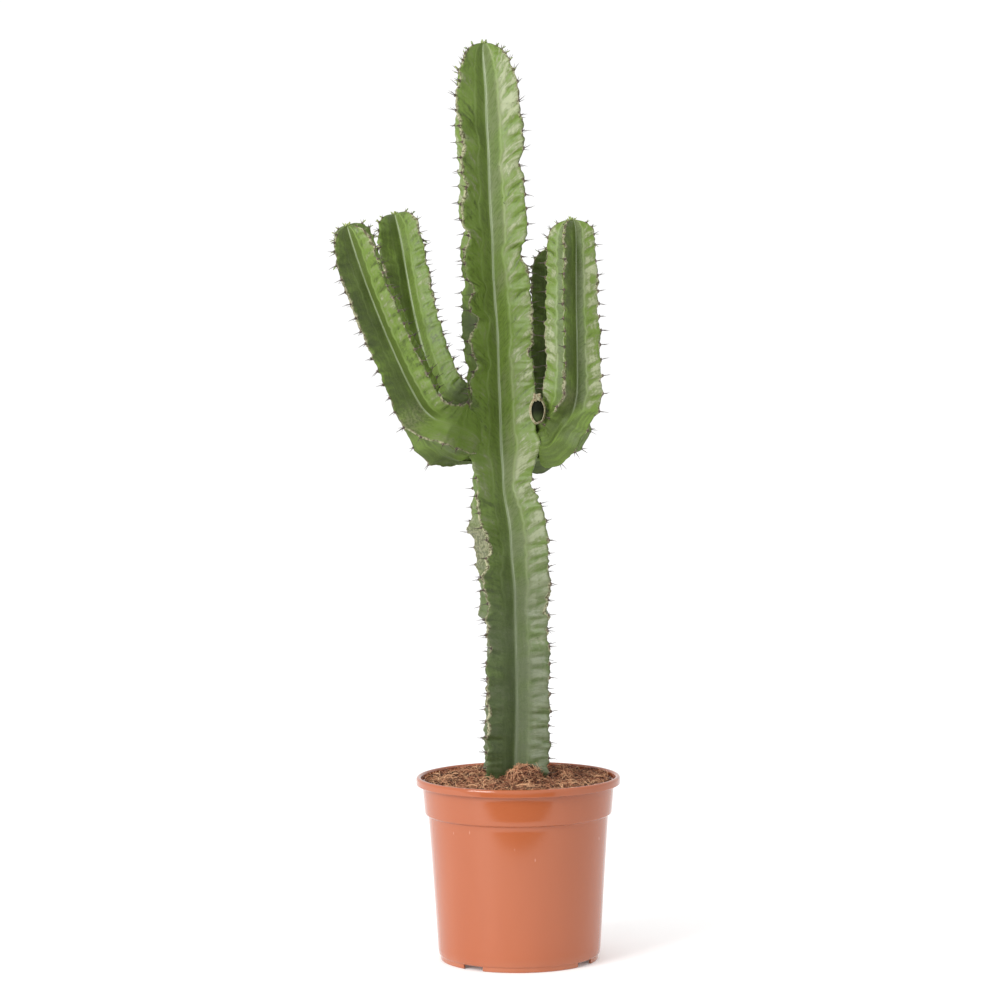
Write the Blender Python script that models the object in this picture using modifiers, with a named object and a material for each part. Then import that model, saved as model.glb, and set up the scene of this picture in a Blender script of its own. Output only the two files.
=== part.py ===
"""Potted euphorbia: a four-ribbed tree euphorbia with four arms in a plastic nursery pot.

Metres, +Z up. The object stands on z = 0, with the origin under the middle of its box.
Azimuths are in degrees from the front (-Y) towards +X.
"""

import bpy
import bmesh
import math
from mathutils import Matrix, Vector, noise

# ---------------------------------------------------------------- driving dimensions

TOUCH_GAP = 0.0003

# Pot: overall size, then the steps inwards from the rim down to the foot
POT_HEIGHT = 0.190
RIM_RADIUS = 0.1055
LIP_WIDTH = 0.0052
LIP_HEIGHT = 0.008
LIP_OVERHANG = 0.0065
COLLAR_DROP = 0.038
COLLAR_TAPER = 0.0023
COLLAR_STEP = 0.0037
COLLAR_CHAMFER = 0.005
WALL_TAPER = 0.0092
WALL_THICKNESS = 0.0016
FLOOR_HEIGHT = 0.0065
FLOOR_THICKNESS = 0.0018
BOTTOM_CORNER = 0.0045
FOOT_HEIGHT = 0.0052
FOOT_STEP = 0.0006
FOOT_INSET = 0.0020
FOOT_THICKNESS = 0.0024
EDGE_ROUND = 0.0006
NOTCH_WIDTH = 0.024
NOTCH_HEIGHT = 0.0046
NOTCH_DEPTH = 0.016
NOTCH_AZIMUTHS = (-36.0, 55.0, 145.0, 235.0)
DRAIN_COUNT = 8
DRAIN_RADIUS = 0.0055
DRAIN_RING_RADIUS = 0.056
POT_SEGMENTS = 52

# Root ball: its top below the rim, how much lower it lies at the wall, and its lumps
SOIL_DROP = 0.0020
SOIL_EDGE_DROP = 0.0045
SOIL_ROUGHNESS = 0.0022
SOIL_GRAIN = 0.020
SOIL_RINGS = 7

# All ribs: how far out the shoulders sit, as shares of the rib's length and the valley's radius
SHOULDER_RIB_SHARE = 0.50
SHOULDER_VALLEY_SHARE = 0.10

# Main stem, with heights above the soil
STEM_HEIGHT = 0.7560
STEM_BURIED = 0.040
STEM_RIB_LENGTH = 0.0455
STEM_VALLEY_RADIUS = 0.0125
STEM_TIP_LENGTH = 0.070
STEM_SHOULDER = 0.0095
STEM_EDGE = 0.0022
STEM_RINGS = 50
STEM_TIP_RINGS = 6
STEM_PATH_STEPS = 120
# Share of the height, then the axis's place along X and Y
STEM_LEAN = (
    (0.00, -0.001, 0.000),
    (0.12, 0.001, 0.000),
    (0.25, 0.000, 0.001),
    (0.33, -0.004, 0.002),
    (0.41, -0.011, 0.003),
    (0.47, -0.013, 0.003),
    (0.58, -0.015, 0.002),
    (0.70, -0.0195, 0.000),
    (0.82, -0.0230, -0.001),
    (0.92, -0.0255, -0.001),
    (1.00, -0.0295, 0.000),
)
STEM_RIBS = (-47.0, 47.0, 136.0, -132.0)
STEM_FRONT_VALLEY = -11.0
# Share of the height, then the ribs' length there as a share of STEM_RIB_LENGTH
STEM_WIDTHS = (
    (0.00, 0.97),
    (0.20, 0.98),
    (0.29, 1.08),
    (0.33, 1.10),
    (0.375, 0.96),
    (0.41, 0.93),
    (0.46, 1.02),
    (0.60, 1.03),
    (0.75, 1.02),
    (1.00, 1.00),
)
# Constrictions in each rib's edge: height above the soil, depth, half-height
STEM_BITES = (
    ((0.131, 0.004, 0.009), (0.160, -0.004, 0.010), (0.178, 0.004, 0.008), (0.200, -0.005, 0.010),
     (0.260, -0.008, 0.036), (0.430, 0.009, 0.009), (0.473, 0.012, 0.008), (0.506, 0.010, 0.008),
     (0.559, 0.006, 0.008), (0.607, 0.005, 0.008), (0.653, 0.006, 0.008)),
    ((0.178, 0.005, 0.008), (0.305, 0.006, 0.013), (0.451, 0.005, 0.008), (0.541, 0.011, 0.010),
     (0.631, 0.006, 0.009)),
    ((0.112, 0.004, 0.010), (0.305, 0.006, 0.013), (0.451, 0.004, 0.008), (0.541, 0.011, 0.010),
     (0.631, 0.005, 0.009)),
    ((0.142, 0.003, 0.010), (0.200, -0.004, 0.012), (0.260, -0.008, 0.036), (0.510, 0.006, 0.009),
     (0.568, 0.004, 0.009)),
)

# Arms: where they leave the stem, and their section as shares of the rib's length
ARM_HEIGHT = 0.326
ARM_ROOT_SHARE = 0.52
ARM_ROOT_RISE = -0.01
ARM_VALLEY_SHARE = 0.30
ARM_SHOULDER_SHARE = 0.21
ARM_EDGE = 0.0019
ARM_TIP_LENGTH = 0.027
ARM_RINGS = 16
ARM_TIP_RINGS = 5
ARM_PATH_STEPS = 60
ARM_RIPPLE = 0.035
ARM_RIPPLE_LENGTH = 0.033
# Over this share of its length from the root, an arm's section changes from round to ribbed
ARM_NECK = 0.14
NECK_VALLEY_SHARE = 0.80
NECK_SHOULDER_SHARE = 0.50
NECK_EDGE_SHARE = 0.30
EDGE_LIMIT = 0.40
# Share of the arm's length, then the ribs' length as a share of the arm's own rib length
ARM_WIDTHS = (
    (0.00, 0.30),
    (0.05, 0.62),
    (0.11, 0.98),
    (0.20, 1.18),
    (0.33, 1.14),
    (0.50, 1.05),
    (0.75, 1.00),
    (1.00, 0.93),
)
# Azimuth, reach from the stem's axis, rise above the branching, rib length, rib azimuths,
# then the bend as shares of the reach and the rise
ARM_BEND_START = 0.096
ARMS = {
    "arm_front_left": dict(
        azimuth=-51.4, reach=0.193, rise=0.242, rib=0.0295, ribs=(-43.0, 48.0, 137.0, -133.0),
        bend=((0.20, 0.07), (0.36, 0.13), (0.50, 0.22), (0.625, 0.34), (0.75, 0.50), (0.87, 0.70),
              (0.95, 0.86), (1.00, 1.00))),
    "arm_back_left": dict(
        azimuth=-135.0, reach=0.157, rise=0.260, rib=0.0338, ribs=(-44.0, 46.0, 136.0, -134.0),
        bend=((0.24, 0.06), (0.45, 0.16), (0.625, 0.28), (0.755, 0.42), (0.865, 0.57),
              (0.93, 0.72), (0.975, 0.88), (1.00, 1.00))),
    "arm_front_right": dict(
        azimuth=55.0, reach=0.0855, rise=0.248, rib=0.0280, ribs=(-17.0, 73.0, 163.0, -107.0),
        bend=((0.36, 0.09), (0.62, 0.15), (0.82, 0.23), (0.95, 0.34), (1.02, 0.50), (1.01, 0.68),
              (1.00, 0.86), (1.00, 1.00))),
    "arm_back_right": dict(
        azimuth=146.0, reach=0.099, rise=0.229, rib=0.0300, ribs=(-78.0, 12.0, 102.0, -168.0),
        bend=((0.34, 0.02), (0.60, 0.12), (0.81, 0.25), (0.93, 0.40), (0.98, 0.55), (1.00, 0.72),
              (1.01, 0.88), (1.00, 1.00))),
}

# Coir lying on the soil: azimuth and distance out from the circle round the stem's ribs,
# then half sizes along X, Y and Z, and lumpiness
COIR_LUMPS = {
    "coir_clump_front": (8.2, -0.0036, (0.0170, 0.0125, 0.0135), 0.20),
    "coir_clump_right": (75.4, 0.0020, (0.0120, 0.0110, 0.0080), 0.20),
    "coir_chip": (4.5, 0.0187, (0.0100, 0.0052, 0.0030), 0.05),
}
COIR_SINK = 0.0015
COIR_SEAT_SHARE = 0.45
COIR_LUMPS_PER_RADIUS = 2.3

POT_COLOUR = (0.56, 0.17, 0.07, 1.0)
SOIL_COLOUR = (0.10, 0.045, 0.025, 1.0)
COIR_COLOUR = (0.22, 0.11, 0.055, 1.0)
CHIP_COLOUR = (0.30, 0.17, 0.10, 1.0)
STEM_COLOUR = (0.12, 0.20, 0.055, 1.0)
ARM_COLOUR = (0.14, 0.24, 0.065, 1.0)

# What follows from the sizes above
RIM_INNER_RADIUS = RIM_RADIUS - LIP_WIDTH
LIP_BOTTOM = POT_HEIGHT - LIP_HEIGHT
COLLAR_TOP_RADIUS = RIM_RADIUS - LIP_OVERHANG
COLLAR_BOTTOM_RADIUS = COLLAR_TOP_RADIUS - COLLAR_TAPER
COLLAR_BOTTOM = POT_HEIGHT - COLLAR_DROP
WALL_TOP_RADIUS = COLLAR_BOTTOM_RADIUS - COLLAR_STEP
SOIL_LEVEL = POT_HEIGHT - SOIL_DROP


# ---------------------------------------------------------------- scene and materials

def clear_scene():
    for old in list(bpy.data.objects):
        bpy.data.objects.remove(old, do_unlink=True)


def collection(name):
    made = bpy.data.collections.new(name)
    bpy.context.scene.collection.children.link(made)
    return made


def material(name, colour, roughness):
    made = bpy.data.materials.new(name)
    made.use_nodes = True
    shader = made.node_tree.nodes["Principled BSDF"]
    shader.inputs["Base Color"].default_value = colour
    shader.inputs["Roughness"].default_value = roughness
    shader.inputs["Metallic"].default_value = 0.0
    made.diffuse_color = colour
    return made


def place(name, mesh, home, finish=None):
    made = bpy.data.objects.new(name, mesh)
    home.objects.link(made)
    if finish is not None:
        mesh.materials.append(finish)
    return made


def move_to(made, home):
    for old in list(made.users_collection):
        old.objects.unlink(made)
    home.objects.link(made)


def as_cutter(made):
    made.hide_render = True
    made.display_type = "WIRE"
    return made


def cut(made, cutter):
    boolean = made.modifiers.new("cut_" + cutter.name, "BOOLEAN")
    boolean.operation = "DIFFERENCE"
    boolean.solver = "EXACT"
    boolean.object = cutter
    return boolean


# ---------------------------------------------------------------- small geometry helpers

def arc(centre, radius, start, end, steps):
    """Points (radius, height) on a round corner, by angle in degrees from the outward side."""
    points = []
    for i in range(steps + 1):
        angle = math.radians(start + (end - start) * i / steps)
        points.append((centre[0] + radius * math.cos(angle), centre[1] + radius * math.sin(angle)))
    return points


def read_curve(pairs, at):
    """Smoothly read a value from (place, value) pairs."""
    if at <= pairs[0][0]:
        return pairs[0][1]
    for (a, low), (b, high) in zip(pairs, pairs[1:]):
        if at <= b:
            share = (at - a) / (b - a)
            return low + (high - low) * share * share * (3.0 - 2.0 * share)
    return pairs[-1][1]


def smooth_path(points, count, steps_between=24):
    """Evenly spaced points on one smooth curve through the given points, and its length."""
    ends = [points[0] * 2 - points[1]] + list(points) + [points[-1] * 2 - points[-2]]
    fine = []
    for i in range(1, len(ends) - 2):
        a, b, c, d = ends[i - 1:i + 3]
        for k in range(steps_between):
            t = k / steps_between
            fine.append(0.5 * (2 * b + (c - a) * t + (2 * a - 5 * b + 4 * c - d) * t * t
                               + (3 * b - a - 3 * c + d) * t ** 3))
    fine.append(points[-1].copy())
    lengths = [0.0]
    for p, q in zip(fine, fine[1:]):
        lengths.append(lengths[-1] + (q - p).length)
    even = []
    step = 0
    for i in range(count + 1):
        want = lengths[-1] * i / count
        while step < len(fine) - 2 and lengths[step + 1] < want:
            step += 1
        span = lengths[step + 1] - lengths[step]
        even.append(fine[step].lerp(fine[step + 1], (want - lengths[step]) / span))
    return even, lengths[-1]


def turned(name, profile, segments, home, finish=None, join=0.00001):
    """A solid of revolution: the profile runs from the axis up inside and down outside."""
    mesh = bpy.data.meshes.new(name)
    points = [(radius, 0.0, height) for radius, height in profile]
    mesh.from_pydata(points, [(i, i + 1) for i in range(len(points) - 1)], [])
    made = place(name, mesh, home, finish)
    screw = made.modifiers.new("turn", "SCREW")
    screw.axis = "Z"
    screw.steps = segments
    screw.render_steps = segments
    screw.use_merge_vertices = True
    screw.merge_threshold = join
    screw.use_smooth_shade = True
    weld = made.modifiers.new("close_axis", "WELD")
    weld.merge_threshold = join
    return made


def applied(made):
    """Turn an object's modifiers into plain mesh."""
    bpy.context.view_layer.update()
    graph = bpy.context.evaluated_depsgraph_get()
    mesh = bpy.data.meshes.new_from_object(made.evaluated_get(graph))
    made.modifiers.clear()
    old = made.data
    made.data = mesh
    bpy.data.meshes.remove(old)
    return made


def outward(azimuth):
    """The horizontal direction at an azimuth."""
    angle = math.radians(azimuth)
    return Vector((math.sin(angle), -math.cos(angle), 0.0))


def in_section(azimuth):
    """The same direction within a stem's section, as (side, front)."""
    angle = math.radians(azimuth)
    return Vector((math.sin(angle), math.cos(angle)))


# ---------------------------------------------------------------- ribbed stems

def valleys_between(ribs):
    """The azimuth halfway from each rib to the next."""
    valleys = []
    for i, azimuth in enumerate(ribs):
        following = ribs[(i + 1) % len(ribs)]
        valleys.append(azimuth + (following - azimuth) % 360.0 / 2.0)
    return valleys


def section(lengths, ribs, valleys, valley_radius, shoulder, edge, swell=0.0):
    """One closed outline as (side, front) pairs: for each rib both shoulders, both sides of
    its edge and its crest, then the valley after it."""
    outline = []
    for length, rib, valley in zip(lengths, ribs, valleys):
        axis = in_section(rib)
        cross = in_section(rib + 90.0)
        reach = length * SHOULDER_RIB_SHARE + valley_radius * SHOULDER_VALLEY_SHARE + swell
        outline.append(axis * reach - cross * (shoulder + swell))
        outline.append(axis * (length - edge + swell) - cross * (edge + swell))
        outline.append(axis * (length + swell))
        outline.append(axis * (length - edge + swell) + cross * (edge + swell))
        outline.append(axis * reach + cross * (shoulder + swell))
        outline.append(in_section(valley) * (valley_radius + swell * math.sqrt(2.0)))
    return outline


def ribbed_solid(name, tip, rings, home, finish=None):
    """Loft closed outlines along a path. rings gives each ring's centre, frame and outline."""
    shape = bmesh.new()
    loops = []
    for centre, side, front, outline in rings:
        loops.append([shape.verts.new(centre + side * p.x + front * p.y) for p in outline])
    start = shape.verts.new(rings[0][0])
    end = shape.verts.new(tip)
    count = len(loops[0])
    for i in range(count):
        j = (i + 1) % count
        for low, high in zip(loops, loops[1:]):
            shape.faces.new((low[i], low[j], high[j], high[i]))
        shape.faces.new((start, loops[0][j], loops[0][i]))
        shape.faces.new((end, loops[-1][i], loops[-1][j]))
    bmesh.ops.recalc_face_normals(shape, faces=shape.faces)
    mesh = bpy.data.meshes.new(name)
    shape.to_mesh(mesh)
    shape.free()
    mesh.shade_smooth()
    return place(name, mesh, home, finish)


def carried_frames(path):
    """A side and a front direction at each path point, carried down from the tip."""
    count = len(path)
    side = Vector((1.0, 0.0, 0.0))
    frames = [None] * count
    for i in range(count - 1, -1, -1):
        tangent = (path[min(i + 1, count - 1)] - path[max(i - 1, 0)]).normalized()
        side = (side - tangent * side.dot(tangent)).normalized()
        frames[i] = (side.copy(), side.cross(tangent).normalized())
    return frames


def tip_shrink(distance, tip_length):
    """How a rib draws in towards the growing tip, 1 well below it and 0 at it."""
    if distance >= tip_length:
        return 1.0
    return math.sqrt(max(0.0, 1.0 - (1.0 - distance / tip_length) ** 2))


def ring_stations(length, rings, tip_length, tip_rings):
    """Distances from the base: even, then closer together round the tip."""
    stations = [(length - tip_length) * i / rings for i in range(rings)]
    for k in range(tip_rings):
        angle = math.radians(90.0 * k / tip_rings)
        stations.append(length - tip_length * (1.0 - math.sin(angle)))
    return stations


def at_distance(path, frames, length, distance):
    """The point and frame at a distance along an evenly spaced path."""
    along = distance / length * (len(path) - 1)
    i = min(int(along), len(path) - 2)
    share = along - i
    side = frames[i][0].lerp(frames[i + 1][0], share).normalized()
    front = frames[i][1].lerp(frames[i + 1][1], share).normalized()
    return path[i].lerp(path[i + 1], share), side, front


def stem_point(height):
    """The stem's axis at a height above the soil."""
    share = max(0.0, height / STEM_HEIGHT)
    sideways = read_curve([(s, x) for s, x, y in STEM_LEAN], share)
    forward = read_curve([(s, y) for s, x, y in STEM_LEAN], share)
    return Vector((sideways, forward, SOIL_LEVEL + height))


def stem_rib_length(index, height):
    """A main rib's length at a height above the soil, with its constrictions."""
    length = STEM_RIB_LENGTH * read_curve(STEM_WIDTHS, height / STEM_HEIGHT)
    for at, depth, reach in STEM_BITES[index]:
        length -= depth * math.exp(-((height - at) / reach) ** 2)
    return length


def main_stem(name, home, finish=None, swell=0.0):
    bottom = -STEM_BURIED - swell
    length = STEM_HEIGHT - bottom
    heights = [bottom + length * i / STEM_PATH_STEPS for i in range(STEM_PATH_STEPS + 1)]
    path = [stem_point(height) for height in heights]
    path[-1].z += swell
    frames = carried_frames(path)
    valleys = valleys_between(STEM_RIBS)
    valleys[0] = STEM_FRONT_VALLEY
    rings = []
    for distance in ring_stations(length, STEM_RINGS, STEM_TIP_LENGTH, STEM_TIP_RINGS):
        shrink = tip_shrink(length - distance, STEM_TIP_LENGTH)
        centre, side, front = at_distance(path, frames, length, distance)
        lengths = [stem_rib_length(i, bottom + distance) * shrink for i in range(len(STEM_RIBS))]
        outline = section(lengths, STEM_RIBS, valleys, STEM_VALLEY_RADIUS * shrink,
                          STEM_SHOULDER * shrink, STEM_EDGE * shrink, swell)
        rings.append((centre, side, front, outline))
    return ribbed_solid(name, path[-1], rings, home, finish)


def arm_path(spec):
    """An arm's axis from inside the stem's rib out and up to its tip, and its length."""
    foot = stem_point(ARM_HEIGHT)
    away = outward(spec["azimuth"])
    start = STEM_RIB_LENGTH * ARM_ROOT_SHARE
    points = []
    for out, up in ((ARM_BEND_START, ARM_ROOT_RISE),) + spec["bend"]:
        share = (out - ARM_BEND_START) / (1.0 - ARM_BEND_START)
        distance = start + (spec["reach"] - start) * share
        points.append(foot + away * distance + Vector((0.0, 0.0, spec["rise"] * up)))
    return smooth_path(points, ARM_PATH_STEPS)


def arm(name, spec, home, finish=None):
    """One arm: round where it leaves the stem, then four-ribbed up to its tip."""
    path, length = arm_path(spec)
    frames = carried_frames(path)
    valleys = valleys_between(spec["ribs"])
    rings = []
    for distance in ring_stations(length, ARM_RINGS, ARM_TIP_LENGTH, ARM_TIP_RINGS):
        share = distance / length
        shrink = tip_shrink(length - distance, ARM_TIP_LENGTH)
        centre, side, front = at_distance(path, frames, length, distance)
        rib = spec["rib"] * read_curve(ARM_WIDTHS, share) * shrink
        ripple = 1.0 + ARM_RIPPLE * math.sin(distance / ARM_RIPPLE_LENGTH * math.tau)
        neck = max(0.0, 1.0 - share / ARM_NECK)
        valley_share = ARM_VALLEY_SHARE + (NECK_VALLEY_SHARE - ARM_VALLEY_SHARE) * neck
        shoulder_share = ARM_SHOULDER_SHARE + (NECK_SHOULDER_SHARE - ARM_SHOULDER_SHARE) * neck
        edge = min(ARM_EDGE * shrink + rib * NECK_EDGE_SHARE * neck, rib * EDGE_LIMIT)
        outline = section([rib * ripple] * len(spec["ribs"]), spec["ribs"], valleys,
                          rib * valley_share, rib * shoulder_share, edge)
        rings.append((centre, side, front, outline))
    return ribbed_solid(name, path[-1], rings, home, finish)


# ---------------------------------------------------------------- pot and soil

def wall_radius(height):
    """The pot's outer wall radius at a height below the collar."""
    return WALL_TOP_RADIUS - WALL_TAPER * (COLLAR_BOTTOM - height) / (COLLAR_BOTTOM - FOOT_HEIGHT)


def inner_profile(inset):
    """The pot's inside from the floor's edge up into the lip, drawn in by an inset."""
    floor = FLOOR_HEIGHT + inset
    wall = WALL_THICKNESS + inset
    corner = BOTTOM_CORNER - WALL_THICKNESS
    low = wall_radius(floor + corner) - wall
    points = arc((low - corner, floor + corner), corner, -90.0, 0.0, 3)
    points.append((wall_radius(COLLAR_BOTTOM - COLLAR_CHAMFER / 2.0) - wall, COLLAR_BOTTOM))
    points.append((COLLAR_BOTTOM_RADIUS - wall, COLLAR_BOTTOM + COLLAR_CHAMFER))
    points.append((COLLAR_TOP_RADIUS - wall, LIP_BOTTOM - EDGE_ROUND))
    points.append((RIM_INNER_RADIUS - inset, LIP_BOTTOM + WALL_THICKNESS))
    points.append((RIM_INNER_RADIUS - inset, POT_HEIGHT - LIP_WIDTH / 2.0))
    return points


def make_pot(home, finish, cutters):
    lip_round = LIP_WIDTH / 2.0
    corner_top = FOOT_HEIGHT + BOTTOM_CORNER
    foot_outer = wall_radius(FOOT_HEIGHT) - FOOT_INSET
    foot_inner = foot_outer - FOOT_THICKNESS
    under_floor = FLOOR_HEIGHT - FLOOR_THICKNESS
    profile = [(0.0, FLOOR_HEIGHT)]
    profile += inner_profile(0.0)[:-1]
    profile += arc((RIM_RADIUS - lip_round, POT_HEIGHT - lip_round), lip_round, 180.0, 0.0, 6)
    profile.append((RIM_RADIUS, LIP_BOTTOM + EDGE_ROUND))
    profile.append((RIM_RADIUS - EDGE_ROUND, LIP_BOTTOM))
    profile.append((COLLAR_TOP_RADIUS, LIP_BOTTOM - EDGE_ROUND))
    profile.append((COLLAR_BOTTOM_RADIUS, COLLAR_BOTTOM + EDGE_ROUND))
    profile.append((COLLAR_BOTTOM_RADIUS - EDGE_ROUND, COLLAR_BOTTOM))
    profile.append((WALL_TOP_RADIUS + EDGE_ROUND, COLLAR_BOTTOM - EDGE_ROUND * 2.0))
    profile.append((wall_radius(COLLAR_BOTTOM - COLLAR_CHAMFER), COLLAR_BOTTOM - COLLAR_CHAMFER))
    profile.append((wall_radius(POT_HEIGHT / 3.0), POT_HEIGHT / 3.0))
    profile.append((wall_radius(corner_top), corner_top))
    profile.append((wall_radius(FOOT_HEIGHT) - EDGE_ROUND, FOOT_HEIGHT + EDGE_ROUND * 2.0))
    profile.append((foot_outer + FOOT_STEP, FOOT_HEIGHT))
    profile.append((foot_outer, FOOT_HEIGHT - EDGE_ROUND))
    profile.append((foot_outer, EDGE_ROUND))
    profile.append((foot_outer - EDGE_ROUND, 0.0))
    profile.append((foot_inner, 0.0))
    profile.append((foot_inner, under_floor))
    profile.append((0.0, under_floor))
    pot = turned("pot", profile, POT_SEGMENTS, home, finish)
    for i, azimuth in enumerate(NOTCH_AZIMUTHS):
        bpy.ops.mesh.primitive_cube_add(size=1.0)
        notch = bpy.context.active_object
        notch.name = "notch_cutter_%d" % (i + 1)
        notch.data.transform(Matrix.Diagonal((NOTCH_WIDTH, NOTCH_DEPTH, NOTCH_HEIGHT * 2.0, 1.0)))
        notch.location = outward(azimuth) * foot_outer
        notch.rotation_euler = (0.0, 0.0, math.radians(azimuth))
        move_to(notch, cutters)
        cut(pot, as_cutter(notch))
    for i in range(DRAIN_COUNT):
        bpy.ops.mesh.primitive_cylinder_add(vertices=16, radius=DRAIN_RADIUS,
                                            depth=FLOOR_HEIGHT + FLOOR_THICKNESS)
        drain = bpy.context.active_object
        drain.name = "drain_cutter_%d" % (i + 1)
        azimuth = NOTCH_AZIMUTHS[0] + 360.0 * i / DRAIN_COUNT
        drain.location = outward(azimuth) * DRAIN_RING_RADIUS + Vector((0.0, 0.0, FLOOR_HEIGHT))
        move_to(drain, cutters)
        cut(pot, as_cutter(drain))
    return pot


def soil_height(x, y, edge_radius):
    """The soil's surface: a low mound with lumps, lowest and smooth along the pot's wall."""
    share = math.hypot(x, y) / edge_radius
    lumps = noise.noise(Vector((x, y, SOIL_LEVEL)) / SOIL_GRAIN) * (1.0 - share ** 6)
    return SOIL_LEVEL - SOIL_EDGE_DROP * share ** 3 + SOIL_ROUGHNESS * lumps


def make_soil(home, finish):
    side = inner_profile(TOUCH_GAP)
    edge_height = SOIL_LEVEL - SOIL_EDGE_DROP
    below = [point for point in side if point[1] < edge_height]
    low = below[-1]
    high = side[len(below)]
    share = (edge_height - low[1]) / (high[1] - low[1])
    edge_radius = low[0] + (high[0] - low[0]) * share
    profile = [(edge_radius * i / SOIL_RINGS, edge_height) for i in range(SOIL_RINGS + 1)]
    profile += list(reversed(below))
    profile.append((0.0, FLOOR_HEIGHT + TOUCH_GAP))
    soil = applied(turned("soil", profile, POT_SEGMENTS, home, finish))
    for vertex in soil.data.vertices:
        if vertex.co.z > edge_height - TOUCH_GAP:
            vertex.co.z = soil_height(vertex.co.x, vertex.co.y, edge_radius)
    return soil


def coir_lump(name, spec, home, finish=None, swell=0.0):
    """A tuft or chip of coir half sunk in the soil."""
    azimuth, clear, size, lumpiness = spec
    bpy.ops.mesh.primitive_ico_sphere_add(subdivisions=3, radius=1.0)
    made = bpy.context.active_object
    made.name = name
    mesh = made.data
    for vertex in mesh.vertices:
        direction = vertex.co.normalized()
        own_lumps = Vector((azimuth, 0.0, 0.0)) + direction * COIR_LUMPS_PER_RADIUS
        lump = 1.0 + lumpiness * noise.noise(own_lumps)
        vertex.co = Vector([direction[k] * (size[k] * lump + swell) for k in range(3)])
    seat = Vector((0.0, 0.0, SOIL_LEVEL + size[2] * COIR_SEAT_SHARE - COIR_SINK))
    made.location = outward(azimuth) * (STEM_RIB_LENGTH + clear) + seat
    if finish is not None:
        mesh.materials.append(finish)
    mesh.shade_smooth()
    move_to(made, home)
    return made


# ---------------------------------------------------------------- the whole object

def stand_on_origin(root, pieces):
    """Move the root so that the object's box stands with the middle of its base on the origin."""
    bpy.context.view_layer.update()
    graph = bpy.context.evaluated_depsgraph_get()
    low = Vector((math.inf,) * 3)
    high = Vector((-math.inf,) * 3)
    for piece in pieces:
        shown = piece.evaluated_get(graph)
        mesh = shown.to_mesh()
        for vertex in mesh.vertices:
            at = shown.matrix_world @ vertex.co
            low = Vector(map(min, low, at))
            high = Vector(map(max, high, at))
        shown.to_mesh_clear()
    root.location = (-(low.x + high.x) / 2.0, -(low.y + high.y) / 2.0, -low.z)


def main():
    clear_scene()
    home = collection("potted_euphorbia")
    cutters = collection("cutters")
    root = bpy.data.objects.new("root", None)
    home.objects.link(root)

    pot = make_pot(home, material("pot_plastic", POT_COLOUR, 0.35), cutters)
    soil = make_soil(home, material("coir_soil", SOIL_COLOUR, 0.95))
    stem = main_stem("main_stem", home, material("stem_skin", STEM_COLOUR, 0.5))
    stem_cutter = as_cutter(main_stem("stem_cutter", cutters, swell=TOUCH_GAP))
    cut(soil, stem_cutter)
    pieces = [pot, soil, stem]
    for name, spec in ARMS.items():
        grown = arm(name, spec, home, material(name + "_skin", ARM_COLOUR, 0.5))
        cut(grown, stem_cutter)
        pieces.append(grown)
    for name, spec in COIR_LUMPS.items():
        colour = CHIP_COLOUR if name == "coir_chip" else COIR_COLOUR
        pieces.append(coir_lump(name, spec, home, material(name + "_fibre", colour, 0.95)))
        cut(soil, as_cutter(coir_lump(name + "_seat", spec, cutters, swell=TOUCH_GAP)))

    for made in list(home.objects) + list(cutters.objects):
        if made is not root:
            made.parent = root
    stand_on_origin(root, pieces)


main()
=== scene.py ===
"""Potted euphorbia: a four-ribbed tree euphorbia with four arms in a terracotta-brown pot.

Heights on the stem are metres above the soil. Azimuths are degrees from the front towards +X.
"""

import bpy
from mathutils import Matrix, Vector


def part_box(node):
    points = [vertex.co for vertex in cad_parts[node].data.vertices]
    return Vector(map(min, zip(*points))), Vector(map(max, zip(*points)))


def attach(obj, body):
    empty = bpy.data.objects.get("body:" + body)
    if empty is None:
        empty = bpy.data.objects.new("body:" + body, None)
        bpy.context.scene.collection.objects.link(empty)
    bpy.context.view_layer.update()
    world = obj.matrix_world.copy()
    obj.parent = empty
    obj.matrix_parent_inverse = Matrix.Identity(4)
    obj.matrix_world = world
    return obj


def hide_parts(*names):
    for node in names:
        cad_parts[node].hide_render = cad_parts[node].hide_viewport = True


bl_info = {
    "name": "Potted Euphorbia",
    "version": (1, 0, 0),
    "blender": (4, 5, 0),
    "location": "View3D > Sidebar > Euphorbia",
    "description": "Builds a potted tree euphorbia with its spines, leaves, pot and coir",
    "category": "Add Mesh",
}

import math

import bpy
import numpy as np
from bpy.props import FloatProperty, FloatVectorProperty, IntProperty, PointerProperty
from mathutils import Matrix, Vector, noise

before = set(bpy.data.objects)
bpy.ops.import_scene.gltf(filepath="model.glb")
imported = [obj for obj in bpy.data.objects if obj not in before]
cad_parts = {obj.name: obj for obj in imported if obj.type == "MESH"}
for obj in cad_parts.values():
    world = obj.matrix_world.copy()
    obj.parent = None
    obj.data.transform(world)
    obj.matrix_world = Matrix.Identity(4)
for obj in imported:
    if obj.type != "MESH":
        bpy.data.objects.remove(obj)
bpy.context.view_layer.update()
POT_LOW, POT_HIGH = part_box("pot")
AXIS = Vector(((POT_LOW.x + POT_HIGH.x) / 2.0, (POT_LOW.y + POT_HIGH.y) / 2.0, 0.0))
POT_HEIGHT = POT_HIGH.z
RIM_RADIUS = (POT_HIGH.x - POT_LOW.x) / 2.0
SOIL_LEVEL = POT_HEIGHT - 0.0020
STEM_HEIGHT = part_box("main_stem")[1].z - SOIL_LEVEL

# ---------------------------------------------------------------- the plant's design

STEM_BURIED = 0.020
STEM_RIB_LENGTH = 0.0455
STEM_VALLEY_RADIUS = 0.0125
STEM_TIP_LENGTH = 0.084
STEM_SHOULDER = 0.0095
STEM_EDGE = 0.0020
STEM_PATH_POINTS = 240
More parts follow.
